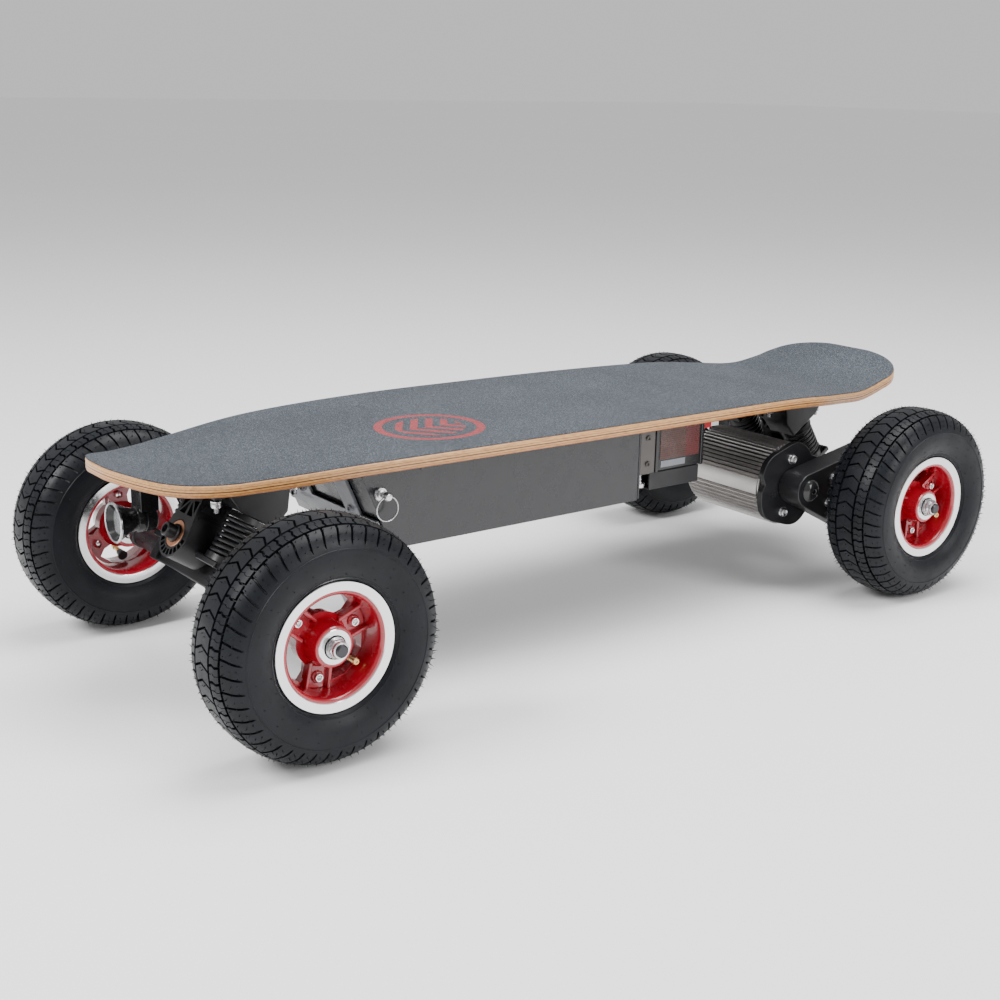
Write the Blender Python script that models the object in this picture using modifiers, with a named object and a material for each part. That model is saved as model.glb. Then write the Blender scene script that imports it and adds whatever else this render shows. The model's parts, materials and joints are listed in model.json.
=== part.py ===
"""An electric off-road skateboard: a kick-tail deck on two sprung trucks, with one belt-driven wheel.

Every sub-part is its own closed body. Units in this file are millimetres; meshes are scaled to
metres when they are made. +Z is up, the nose points to -Y, and the rider's left is +X.
"""

import math

import bmesh
import bpy
from mathutils import Matrix, Vector

MM = 0.001
GAP = 0.3  # clearance left between pieces that touch on the real board

# Running gear
WHEEL_RADIUS = 114.0
WHEEL_X = 214.6
FRONT_AXLE_Y = -417.0
REAR_AXLE_Y = 400.0
AXLE_RADIUS = 6.0
TYRE_SIDES = 28
RIM_TURN = {"front_left": 0.0, "front_right": 53.0, "rear_left": 10.0, "rear_right": 0.0}

# Trucks: the kingpin's front end stands this far ahead of and above the axle, and leans back
PIVOT_AHEAD = 33.0
PIVOT_ABOVE = 48.0
PIVOT_TILT = math.radians(33.0)

# Deck: (station along Y, half width) between the two rounded ends
DECK_SIDES = (
    (-429, 101), (-349, 122), (-269, 135), (-149, 143), (0, 144),
    (131, 142), (251, 136.5), (331, 131), (401, 117), (471, 107),
)
# Deck: (station along Y, height of the top). It arches between the trucks and kicks up at the tail
DECK_TOP = (
    (-529, 244), (-489, 234), (-449, 231.5), (-409, 233.5), (-309, 240.5),
    (-159, 243.5), (0, 243), (141, 241.8), (291, 238.6), (371, 232.4),
    (421, 229), (451, 232.5), (491, 242), (511, 249.7), (531, 258.7),
)
NOSE_Y = -529.0
TAIL_Y = 531.0
GRIP_THICK = 0.8
PLY_THICK = 12.0

# Motor and belt drive on the rear hanger
MOTOR_Y = 288.0
MOTOR_Z = 131.0
MOTOR_RADIUS = 50.0
MOTOR_END_X = 119.7
PLATE_X = (120.0, 128.0)
COVER_X = (128.3, 160.0)
BELT_X = (135.0, 149.0)
WHEEL_PULLEY_RADIUS = 47.0
PINION_RADIUS = 11.75


# ---------------------------------------------------------------- helpers


def clear_scene():
    for obj in list(bpy.data.objects):
        bpy.data.objects.remove(obj, do_unlink=True)


def material(name, colour, roughness, metallic=0.0):
    made = bpy.data.materials.new(name)
    made.use_nodes = True
    shader = made.node_tree.nodes["Principled BSDF"]
    shader.inputs["Base Color"].default_value = (*colour, 1.0)
    shader.inputs["Roughness"].default_value = roughness
    shader.inputs["Metallic"].default_value = metallic
    return made


def add_object(name, shape, surface=None, smooth=False):
    """Turns a finished bmesh into an object of the board's collection."""
    bmesh.ops.recalc_face_normals(shape, faces=shape.faces)
    mesh = bpy.data.meshes.new(name)
    shape.to_mesh(mesh)
    shape.free()
    if surface:
        mesh.materials.append(surface)
    if smooth:
        mesh.shade_smooth()
        mesh.set_sharp_from_angle(angle=math.radians(35))
    obj = bpy.data.objects.new(name, mesh)
    collection.objects.link(obj)
    return obj


def box(name, low, high, surface=None):
    """A box between two opposite corners."""
    shape = bmesh.new()
    bmesh.ops.create_cube(shape, size=1.0)
    low, high = Vector(low) * MM, Vector(high) * MM
    bmesh.ops.scale(shape, vec=high - low, verts=shape.verts)
    bmesh.ops.translate(shape, vec=(low + high) / 2, verts=shape.verts)
    return add_object(name, shape, surface)


def prism(name, outline, low, high, axis="X", surface=None):
    """A flat outline pushed along one axis. It is (y, z) for X, (x, z) for Y and (x, y) for Z."""
    place = {
        "X": lambda u, v, w: Vector((w, u, v)),
        "Y": lambda u, v, w: Vector((u, w, v)),
        "Z": lambda u, v, w: Vector((u, v, w)),
    }[axis]
    shape = bmesh.new()
    face = shape.faces.new([shape.verts.new(place(u, v, low) * MM) for u, v in outline])
    pushed = bmesh.ops.extrude_face_region(shape, geom=[face], use_keep_orig=True)
    verts = [item for item in pushed["geom"] if isinstance(item, bmesh.types.BMVert)]
    bmesh.ops.translate(shape, vec=place(0, 0, high - low) * MM, verts=verts)
    return add_object(name, shape, surface)


def turned(name, profile, steps, surface=None, axis="X"):
    """A closed profile of (position along the axis, radius), turned by a Screw modifier."""
    place = {"X": lambda a, r: (a, r, 0), "Y": lambda a, r: (r, a, 0), "Z": lambda a, r: (r, 0, a)}[axis]
    shape = bmesh.new()
    verts = [shape.verts.new(Vector(place(along, radius)) * MM) for along, radius in profile]
    for k, vert in enumerate(verts):
        if profile[k][1] > 0 or profile[k - 1][1] > 0:
            shape.edges.new((verts[k - 1], vert))
    obj = add_object(name, shape, surface)
    screw = obj.modifiers.new("turn", "SCREW")
    screw.axis = axis
    screw.steps = screw.render_steps = steps
    screw.use_merge_vertices = True
    screw.merge_threshold = 1e-6
    turned_shape = bmesh.new()
    turned_shape.from_mesh(applied(obj))
    bpy.data.objects.remove(obj, do_unlink=True)
    return add_object(name, turned_shape, surface, smooth=True)


def cylinder(name, radius, low, high, steps=24, surface=None, axis="X"):
    """A capped cylinder along one axis, between two stations on it."""
    shape = bmesh.new()
    turn = {"X": Matrix.Rotation(math.pi / 2, 4, "Y"), "Y": Matrix.Rotation(math.pi / 2, 4, "X"), "Z": Matrix()}[axis]
    centre = Vector({"X": (1, 0, 0), "Y": (0, 1, 0), "Z": (0, 0, 1)}[axis]) * (low + high) / 2
    bmesh.ops.create_cone(
        shape, cap_ends=True, segments=steps, radius1=radius * MM, radius2=radius * MM,
        depth=(high - low) * MM, matrix=Matrix.Translation(centre * MM) @ turn,
    )
    return add_object(name, shape, surface, smooth=True)


def tube(name, points, radius, surface=None, resolution=1, closed=False):
    """A round wire through the points, as a bevelled curve with filled ends."""
    guide = bpy.data.curves.new(name, "CURVE")
    guide.dimensions = "3D"
    guide.bevel_depth = radius * MM
    guide.bevel_resolution = resolution
    guide.use_fill_caps = not closed
    line = guide.splines.new("POLY")
    line.points.add(len(points) - 1)
    line.use_cyclic_u = closed
    for point, place in zip(line.points, points):
        point.co = (*(Vector(place) * MM), 1.0)
    guide.materials.append(surface)
    wire = bpy.data.objects.new(name, guide)
    collection.objects.link(wire)
    return wire


def moved(obj, x=0.0, y=0.0, z=0.0):
    obj.data.transform(Matrix.Translation(Vector((x, y, z)) * MM))
    return obj


def applied(obj):
    """The object's mesh with its modifiers applied."""
    bpy.context.view_layer.update()
    return bpy.data.meshes.new_from_object(obj.evaluated_get(bpy.context.evaluated_depsgraph_get()))


def boolean(obj, tool, operation):
    """Applies a Boolean at once and removes the tool."""
    step = obj.modifiers.new("boolean", "BOOLEAN")
    step.operation = operation
    step.solver = "EXACT"
    step.object = tool
    mesh = applied(obj)
    obj.modifiers.clear()
    mesh.name = obj.name
    obj.data = mesh
    bpy.data.objects.remove(tool, do_unlink=True)
    return obj


def cut(obj, *tools):
    for tool in tools:
        boolean(obj, tool, "DIFFERENCE")
    return obj


def fuse(obj, *tools):
    for tool in tools:
        boolean(obj, tool, "UNION")
    return obj


def circle(radius, steps, centre=(0.0, 0.0), start=0.0, sweep=2 * math.pi):
    """Points on a circle, or on an arc of it when sweep is less than a full turn."""
    full = sweep >= 2 * math.pi
    ends = steps if full else steps - 1
    return [
        (
            centre[0] + radius * math.cos(start + sweep * k / ends),
            centre[1] + radius * math.sin(start + sweep * k / ends),
        )
        for k in range(steps)
    ]


def belt_outline(small, large, steps):
    """The outline around two circles, each given as ((y, z), radius), the small one further forward."""
    (y0, z0), r0 = small
    (y1, z1), r1 = large
    heading = math.atan2(z1 - z0, y1 - y0)
    lean = math.acos((r0 - r1) / math.hypot(y1 - y0, z1 - z0))
    front = circle(r0, steps, (y0, z0), heading + lean, 2 * math.pi - 2 * lean)
    back = circle(r1, steps, (y1, z1), heading - lean, 2 * lean)
    return front + back


def smooth_curve(table, at):
    """A smooth curve through the table's points (Catmull-Rom on uneven stations)."""
    last = len(table) - 1
    k = 0
    while k < last - 1 and at > table[k + 1][0]:
        k += 1

    def slope(i):
        low, high = max(i - 1, 0), min(i + 1, last)
        return (table[high][1] - table[low][1]) / (table[high][0] - table[low][0])

    (x0, v0), (x1, v1) = table[k], table[k + 1]
    span = x1 - x0
    t = (at - x0) / span
    return (
        (2 * t**3 - 3 * t**2 + 1) * v0
        + (t**3 - 2 * t**2 + t) * span * slope(k)
        + (3 * t**2 - 2 * t**3) * v1
        + (t**3 - t**2) * span * slope(k + 1)
    )


def group_at(name, location, rotation=(0.0, 0.0, 0.0), parent=None):
    """An empty on a joint axis, which the moving pieces are parented to."""
    empty = bpy.data.objects.new(name, None)
    empty.rotation_euler = rotation
    collection.objects.link(empty)
    empty.location = Vector(location) * MM
    bpy.context.view_layer.update()
    if parent:
        keep = empty.matrix_world.copy()
        empty.parent = parent
        empty.matrix_parent_inverse = parent.matrix_world.inverted()
        empty.matrix_world = keep
        bpy.context.view_layer.update()
    return empty


def attach(obj, parent, local=False):
    """Parents a piece. A local piece was modelled in the parent's own frame."""
    obj.parent = parent
    if not local:
        obj.matrix_parent_inverse = parent.matrix_world.inverted()
    return obj


# ---------------------------------------------------------------- deck


def deck_half_width(y):
    if y < DECK_SIDES[0][0]:
        start, half = DECK_SIDES[0]
        t = (start - y) / (start - NOSE_Y)
        return (half - 0.38 * (start - y)) * max(1 - t**4.0, 0.0) ** (1 / 2.5)
    if y > DECK_SIDES[-1][0]:
        start, half = DECK_SIDES[-1]
        t = (y - start) / (TAIL_Y - start)
        return half * max(1 - t**2.8, 0.0) ** (1 / 2.3)
    return smooth_curve(DECK_SIDES, y)


def deck_stations():
    """Stations along the deck, closer together where the ends curve round."""
    nose_start, tail_start = DECK_SIDES[0][0], DECK_SIDES[-1][0]
    nose = [NOSE_Y + (nose_start - NOSE_Y) * (1 - math.cos(math.pi * k / 18)) for k in range(9)]
    body = [nose_start + (tail_start - nose_start) * k / 26 for k in range(27)]
    tail = [TAIL_Y - (TAIL_Y - tail_start) * (1 - math.cos(math.pi * k / 16)) for k in range(7, -1, -1)]
    return nose + body + tail


def deck_sheet(name, upper, lower, inset, surface):
    """A sheet that follows the deck, between two depths under its top and set in from its edge.

    It is a loft: a cross-section of four corners at each station, and two at the pointed ends.
    """
    shape = bmesh.new()
    rings = []
    for y in deck_stations():
        half = deck_half_width(y) - inset
        at = min(max(y, NOSE_Y + inset), TAIL_Y - inset)
        top = smooth_curve(DECK_TOP, at)
        corners = [(half, upper), (-half, upper), (-half, lower), (half, lower)]
        if half < 1.0:
            corners = [(0.0, upper), (0.0, lower)]
        ring = [shape.verts.new(Vector((x, at, top - depth)) * MM) for x, depth in corners]
        rings.append(ring if len(ring) == 4 else [ring[0], ring[0], ring[1], ring[1]])
    for first, second in zip(rings, rings[1:]):
        for i in range(4):
            j = (i + 1) % 4
            face = dict.fromkeys((first[i], first[j], second[j], second[i]))
            if len(face) > 2:
                shape.faces.new(face)
    return add_object(name, shape, surface)


def build_deck():
    top_of_ply = GRIP_THICK + GAP
    deck = deck_sheet("deck", top_of_ply, top_of_ply + PLY_THICK, 0.0, maple)
    grip = deck_sheet("grip_tape", 0.0, GRIP_THICK, 1.5, grit)
    return deck, grip


# ---------------------------------------------------------------- power pack under the deck

CASE_HALF = 95.0
CASE_SIDE = ((-299.0, 225.0), (-259.0, 137.0), (71.0, 137.0), (71.0, 225.0))
SHEET = 2.5
PIN_Y = -274.0
PIN_Z = 197.0


def build_battery_case():
    """A folded steel tray with a sloped front, open at the top against the deck."""
    case = prism("battery_case", CASE_SIDE, -CASE_HALF, CASE_HALF, "X", black_steel)
    (y0, z0), (y1, z1), (y2, z2), (y3, z3) = CASE_SIDE
    inner = ((y0 + 3, z0 + 5), (y1 + 2, z1 + SHEET), (y2 - SHEET, z2 + SHEET), (y3 - SHEET, z3 + 5))
    cut(case, prism("hollow", inner, SHEET - CASE_HALF, CASE_HALF - SHEET, "X"))
    cut(case, moved(cylinder("pin_hole", 3.6, CASE_HALF - 6, CASE_HALF + 6, 16), 0, PIN_Y, PIN_Z))
    cut(case, box("switch_hole", (-CASE_HALF - 5, 34, 190), (5 - CASE_HALF, 56, 206)))
    cut(case, moved(cylinder("port_hole", 8.3, -CASE_HALF - 5, 5 - CASE_HALF, 20), 0, 10, 198))
    pack = box("battery_pack", (-86, -252, 141), (86, 62, 186), blue_wrap)
    return case, pack


def build_case_bracket():
    """A folded strap across the sloped front of the case, with two prongs up to the deck."""
    def slope(z, out):
        return CASE_SIDE[0][0] + (225.0 - z) * 40.0 / 88.0 - out

    def strip(name, z_low, z_high, x_low, x_high):
        side = [
            (slope(z_low, 0.6), z_low), (slope(z_high, 0.6), z_high),
            (slope(z_high, 4.6), z_high), (slope(z_low, 4.6), z_low),
        ]
        return prism(name, side, x_low, x_high, "X", grey_steel)

    bracket = strip("case_front_bracket", 150, 168, -92, 92)
    for side in (-1, 1):
        x_low, x_high = sorted((side * 34, side * 62))
        fuse(bracket, strip("prong", 160, 222, x_low, x_high))
    return bracket


def build_release_pin():
    """A quick-release pin through the side of the case, with a pull ring through its cross hole."""
    outer = CASE_HALF + 13
    pin = turned(
        "release_pin",
        [(CASE_HALF - 12, 0), (CASE_HALF - 12, 3), (CASE_HALF + 1, 3), (CASE_HALF + 1, 5),
         (CASE_HALF + 3, 5), (CASE_HALF + 3, 3.4), (outer - 2, 4.4), (outer + 2, 4.4), (outer + 4, 2.5), (outer + 4, 0)],
        16, steel,
    )
    moved(pin, 0, PIN_Y, PIN_Z)
    cut(pin, moved(cylinder("ring_hole", 2.6, PIN_Y - 8, PIN_Y + 8, 12, None, "Y"), outer, 0, PIN_Z))
    reach = 12.5
    loop = [(outer, PIN_Y + u, PIN_Z - reach + v) for u, v in circle(reach, 20)]
    ring = tube("pull_ring", loop, 1.2, steel, closed=True)
    return pin, ring


def build_power_inlet():
    """The rocker switch and the charging socket, on the case's right side."""
    switch = prism(
        "power_switch",
        [(-97.5, 36), (-96, 45), (-97.5, 54), (-90.5, 52), (-90.5, 38)],
        191.5, 204.5, "Z", switch_red,
    )
    port = turned(
        "charge_port",
        [(-99, 0), (-99, 3), (-94, 3), (-94, 6), (-99, 6), (-99, 10.5), (-95.6, 10.5),
         (-95.6, 7.9), (-88, 7.9), (-88, 0)],
        20, black_plastic,
    )
    moved(port, 0, 10, 198)
    return switch, port


def build_controller():
    """The speed controller: a housing open to the deck, side rails under it, and two hanger rods."""
    low, high = (-95, 96, 167), (95, 170, 226)
    housing = box("controller_housing", low, high, black_plastic)
    cut(housing, box("hollow", (-91, 100, 170), (91, 166, 240)))
    unit = box("controller_unit", (-86, 104, 170.4), (86, 162, 200), grey_steel)
    rails = []
    for name, side in (("rail_left", 1), ("rail_right", -1)):
        x_low, x_high = sorted((side * 69, side * 95))
        rail = box(name, (x_low, 88, 146.5), (x_high, 165, 166.7), black_steel)
        cut(rail, box("channel", (x_low + SHEET, 80, 146.5 + SHEET), (x_high - SHEET, 180, 166.7 - SHEET)))
        rails.append(rail)
    rods = []
    for name, side in (("hanger_rod_left", 1), ("hanger_rod_right", -1)):
        rod = turned(
            name, [(150, 0), (150, 7), (155, 7), (155, 3.5), (221, 3.5), (221, 7), (228, 7), (228, 0)],
            12, steel, "Z",
        )
        rods.append(moved(rod, side * 86, 80, 0))
    return housing, unit, *rails, *rods


def build_lamp():
    """The headlamp on a block under the nose, on the right."""
    x, z = -78.0, 158.0
    lamp = turned(
        "lamp_housing",
        [(-481, 20), (-479, 20.6), (-474, 17.5), (-464, 12.8), (-458, 12.4), (-457, 13.6), (-438, 13.6),
         (-438, 0), (-462, 0), (-464, 10), (-474, 15), (-481, 18.5)],
        24, gloss_black, "Y",
    )
    moved(lamp, x, 0, z)
    fuse(lamp, box("post", (x - 12, -456, z + 9), (x + 12, -436, 217.6)))
    lens = turned("lamp_lens", [(-474, 0), (-474, 14.6), (-472, 13.6), (-472, 0)], 24, clear_glass, "Y")
    moved(lens, x, 0, z)
    return lamp, lens


# ---------------------------------------------------------------- trucks

LINK_DEPTH = 34.0
SPRING_X = 47.0
SPRING_Y = 36.0
SPRING_LOW = -5.2
SPRING_HIGH = 46.0


def truck_frame(name, axle_y, facing):
    """The empty on a truck's pivot: its Y runs back down the kingpin, its Z away from the ground."""
    turn = 0.0 if facing < 0 else math.pi
    return group_at(name, (0, axle_y + facing * PIVOT_AHEAD, WHEEL_RADIUS + PIVOT_ABOVE), (-PIVOT_TILT, 0, turn))


def axle_in_frame():
    c, s = math.cos(PIVOT_TILT), math.sin(PIVOT_TILT)
    return PIVOT_AHEAD * c + PIVOT_ABOVE * s, PIVOT_AHEAD * s - PIVOT_ABOVE * c


def build_truck_base(name, frame, plate, wedge):
    """The base under the deck: a plate, two spring wedges, and the ribbed link that holds the kingpin."""
    arc = circle(25.0, 19, (0, 0), math.radians(180 + 4), math.radians(172))
    link = prism(name, arc + [(17, 30), (17, 64), (-17, 64), (-17, 30)], 0, LINK_DEPTH, "Y", black_plastic)
    for side in (-1, 1):
        for low, high in ((6, 20), (26, 40), (46, 58)):
            x_low, x_high = sorted((side * 10, side * 40))
            cut(link, box("pocket", (x_low, 5, low + 14), (x_high, LINK_DEPTH - 5, high + 10)))
    cut(link, cylinder("bore", 12.8, -5, LINK_DEPTH + 5, 24, None, "Y"))
    link.data.transform(frame.matrix_world)
    fuse(link, prism("plate", plate, -60, 60, "X"))
    for side in (-1, 1):
        x_low, x_high = sorted((side * 26, side * 66))
        fuse(link, prism("wedge", wedge, x_low, x_high, "X"))
    return link


def build_hanger(name, frame):
    """The hanger: a sleeve on the kingpin, a beam around the axle and two spring wings."""
    axle_y, axle_z = axle_in_frame()
    hanger = box(name, (-92, 41, -35), (92, 67, -9), black_steel)
    fuse(hanger, cylinder("sleeve", 16, LINK_DEPTH + 0.6, 58, 24, None, "Y"))
    for side in (-1, 1):
        x_low, x_high = sorted((side * 27, side * 63))
        fuse(hanger, box("wing", (x_low, 19, -12), (x_high, 58, -5.6)))
        x_low, x_high = sorted((side * 80, side * 92.5))
        fuse(hanger, box("end_block", (x_low, 37, -36), (x_high, 60, -10)))
        x_low, x_high = sorted((side * 90, side * 160))
        boss = cylinder("boss", 11, x_low, x_high, 20)
        fuse(hanger, moved(boss, 0, axle_y, axle_z))
    cut(hanger, cylinder("kingpin_hole", AXLE_RADIUS + GAP, 20, 80, 16, None, "Y"))
    cut(hanger, moved(cylinder("axle_hole", AXLE_RADIUS + GAP, -170, 170, 16), 0, axle_y, axle_z))
    return attach(hanger, frame, local=True)


def build_kingpin(name, frame):
    """The kingpin, with a hollow front end and a nut behind the hanger's sleeve."""
    profile = [(-13, 3), (-13, 6), (58.4, 6), (58.4, 8.5), (66, 8.5), (66, 0), (-4, 0), (-4, 3)]
    return attach(turned(name, profile, 16, steel, "Y"), frame, local=True)


def build_bush(name, frame):
    profile = [(1, 6.3), (1, 12.5), (LINK_DEPTH - 1, 12.5), (LINK_DEPTH - 1, 6.3)]
    return attach(turned(name, profile, 24, copper, "Y"), frame, local=True)


def build_axle(name, axle_y):
    """The axle with its lock nuts, one at each end."""
    profile = [
        (-258, 0), (-258, 5), (-257, 6), (-252.6, 6), (-252.6, 10), (-244.6, 10), (-244.6, 6),
        (244.6, 6), (244.6, 10), (252.6, 10), (252.6, 6), (257, 6), (258, 5), (258, 0),
    ]
    axle = turned(name, profile, 12, steel)
    axle.location = Vector((0, axle_y, WHEEL_RADIUS)) * MM
    return axle


def build_spring(name, frame, side):
    """A coil spring between the truck base's wedge and the hanger's wing, with flat ends."""
    turns, per_turn, wire, coil = 6, 8, 2.6, 17.4
    length = SPRING_HIGH - SPRING_LOW - 2 * wire
    total = turns * per_turn
    points = []
    for k in range(total + 1):
        angle = 2 * math.pi * k / per_turn
        rise = min(max((k - per_turn / 2) / (total - per_turn), 0.0), 1.0)
        x, y = coil * math.cos(angle), coil * math.sin(angle)
        points.append((side * SPRING_X + x, SPRING_Y + y, SPRING_LOW + wire + length * rise))
    return attach(tube(name, points, wire, black_steel), frame, local=True)


def build_deck_bolts(front_back, stations, plate_low):
    """Four bolts through the deck and the truck base: a shaft below the plate and a nut."""
    bolts = []
    for k, (x, y) in enumerate(stations):
        low = plate_low[k]
        profile = [(low - 13, 0), (low - 13, 3), (low - 7.3, 3), (low - 7.3, 6), (low - 0.3, 6), (low - 0.3, 0)]
        bolt = turned(f"deck_bolt_{front_back}_{k + 1}", profile, 12, steel, "Z")
        bolts.append(moved(bolt, x, y, 0))
    return bolts


# ---------------------------------------------------------------- wheels


def build_tyre(name):
    """A pneumatic tyre, open towards the rim. It stands on a flat of its many-sided tread."""
    outer = [(30.2, 52.7), (30.2, 61.2), (40.0, 77.0), (40.3, 93.0), (33.0, 107.0), (16.0, 114.0)]
    inner = [(22.5, 52.7), (32.0, 80.0), (26.0, 101.0)]
    profile = [(-x, r) for x, r in outer] + outer[::-1] + inner + [(-x, r) for x, r in inner[::-1]]
    tyre = turned(name, profile, TYRE_SIDES, rubber)
    tyre.data.transform(Matrix.Diagonal((1, *[1 / math.cos(math.pi / TYRE_SIDES)] * 2, 1)))
    tyre.data.transform(Matrix.Rotation(math.pi / TYRE_SIDES, 4, "X"))
    return tyre


def build_rim(name):
    """A split rim: lips and barrel, a web with three windows, and a hub."""
    profile = [
        (-32.6, 60.6), (-30.6, 60.6), (-30.6, 51.5), (30.6, 51.5), (30.6, 60.6),
        (32.6, 60.6), (30.0, 49.0), (9.0, 46.0), (9.0, 22.0), (29.0, 20.0), (29.0, 16.3),
        (-30.0, 16.3), (-30.0, 20.0), (-4.0, 22.0), (-4.0, 46.0), (-30.0, 49.0),
    ]
    rim = turned(name, profile, 24, red_paint)
    for k in range(3):
        corners = ((25, -28), (36, -39), (43, -36), (44.5, 0), (43, 36), (36, 39), (25, 28))
        window = [(r * math.cos(math.radians(a)), r * math.sin(math.radians(a))) for r, a in corners]
        tool = prism("window", window, -12, 16, "X")
        tool.data.transform(Matrix.Rotation(math.radians(80 + 120 * k), 4, "X"))
        cut(rim, tool)
    return rim


def build_bearing(name):
    """The wheel's bearing cartridge, through the hub."""
    profile = [(-29, 6.3), (-29, 16.0), (29.4, 16.0), (29.4, 6.3)]
    return turned(name, profile, 20, steel)


def build_wheel(corner, x, y, parent):
    """A tyre, a rim and a bearing cartridge on one spin axis. The rim's open face looks outwards."""
    spin = group_at(f"spin_{corner}", (x, y, WHEEL_RADIUS), parent=parent)
    rim = build_rim(f"rim_{corner}")
    for piece in (build_tyre(f"tyre_{corner}"), rim, build_bearing(f"bearing_{corner}")):
        if x < 0:
            piece.data.transform(Matrix.Rotation(math.pi, 4, "Z"))
        piece.parent = spin
    rim.data.transform(Matrix.Rotation(math.radians(RIM_TURN[corner]), 4, "X"))
    return spin


# ---------------------------------------------------------------- drive


def motor_outline():
    """The finned section of the motor's extrusion, with four plain ribs between groups of fins."""
    points = []
    steps = 96
    for k in range(steps):
        angle = 2 * math.pi * k / steps
        plain = abs(math.cos(2 * angle)) > 0.96
        radius = MOTOR_RADIUS if plain or k % 4 in (0, 1) else MOTOR_RADIUS - 3.0
        points.append((MOTOR_Y + radius * math.cos(angle), MOTOR_Z + radius * math.sin(angle)))
    return points


def build_motor():
    motor = prism("motor_housing", motor_outline(), 0, MOTOR_END_X, "X", aluminium)
    cut(motor, moved(cylinder("motor_bore", 8.0, 40, 130, 20), 0, MOTOR_Y, MOTOR_Z))
    return motor


def plate_outline():
    """The lobed mounting plate: round at the motor, with an arm back to the axle."""
    arc = []
    for k in range(25):
        angle = math.radians(42 + 276 * k / 24)
        lobe = 2.2 * math.cos(5 * angle)
        arc.append((MOTOR_Y + (MOTOR_RADIUS + lobe) * math.cos(angle), MOTOR_Z + (MOTOR_RADIUS + lobe) * math.sin(angle)))
    back = circle(24.0, 9, (REAR_AXLE_Y, WHEEL_RADIUS), math.radians(-80), math.radians(160))
    return arc + back


def build_mount_plate():
    plate = prism("motor_mount_plate", plate_outline(), *PLATE_X, "X", black_steel)
    cut(plate, moved(cylinder("axle_boss_hole", 11.3, 100, 150, 20), 0, REAR_AXLE_Y, WHEEL_RADIUS))
    cut(plate, moved(cylinder("shaft_hole", 9.0, 100, 150, 20), 0, MOTOR_Y, MOTOR_Z))
    return plate


def build_belt_cover():
    """The belt cover: a rounded shell, open towards the plate and around the wheel's pulley."""
    motor, axle = (MOTOR_Y, MOTOR_Z), (REAR_AXLE_Y, WHEEL_RADIUS)
    low, high = COVER_X
    cover = prism("belt_cover", belt_outline((motor, 20.5), (axle, 57), 14), low, high, "X", black_plastic)
    cut(cover, prism("hollow", belt_outline((motor, 18), (axle, 54.5), 14), low - 5, high - 3, "X"))
    cut(cover, moved(cylinder("pulley_opening", 51, low - 5, high + 5, 28), 0, *axle))
    fuse(cover, moved(turned("cap", [(159, 0), (159, 13), (163, 12.4), (166, 9), (167, 5), (167, 0)], 24), 0, *motor))
    return cover


def build_belt():
    motor, axle = (MOTOR_Y, MOTOR_Z), (REAR_AXLE_Y, WHEEL_RADIUS)
    inner = belt_outline((motor, PINION_RADIUS + 0.5), (axle, WHEEL_PULLEY_RADIUS + 0.6), 15)
    outer = belt_outline((motor, PINION_RADIUS + 3.2), (axle, WHEEL_PULLEY_RADIUS + 3.4), 15)
    belt = prism("drive_belt", outer, *BELT_X, "X", rubber)
    cut(belt, prism("loop", inner, BELT_X[0] - 5, BELT_X[1] + 5, "X"))
    return belt


def build_wheel_pulley():
    """The wheel's belt pulley, bolted to the inner face of the rim by a neck around the hub."""
    profile = [
        (134, 16.3), (134, 47), (150, 47), (150, 30), (181.8, 30), (181.8, 20.4), (180, 20.4), (180, 16.3),
    ]
    pulley = turned("wheel_pulley", profile, 28, aluminium)
    pulley.data.transform(Matrix.Translation(Vector((-WHEEL_X, 0, 0)) * MM))
    return pulley


def build_rotor():
    """The motor shaft with its pinion."""
    profile = [
        (60, 0), (60, 5), (133, 5), (133, 13.5), (134.4, 13.5), (134.4, PINION_RADIUS),
        (149.6, PINION_RADIUS), (149.6, 13.5), (151, 13.5), (151, 5), (154, 5), (154, 0),
    ]
    rotor = turned("motor_rotor", profile, 20, steel)
    rotor.location = Vector((0, MOTOR_Y, MOTOR_Z)) * MM
    return rotor


def build_motor_cable():
    """The motor's cable, from the back of the controller to the end of the motor."""
    route = [(10, 171, 200), (10, 184, 203), (6, 200, 206), (-2, 220, 204), (-8, 244, 196)]
    route += [(-10, 262, 186), (-10, 276, 176), (-9, 284, 160), (-4, 286, 150)]
    return tube("motor_cable", route, 4.0, rubber)


# ---------------------------------------------------------------- the whole board


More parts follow.
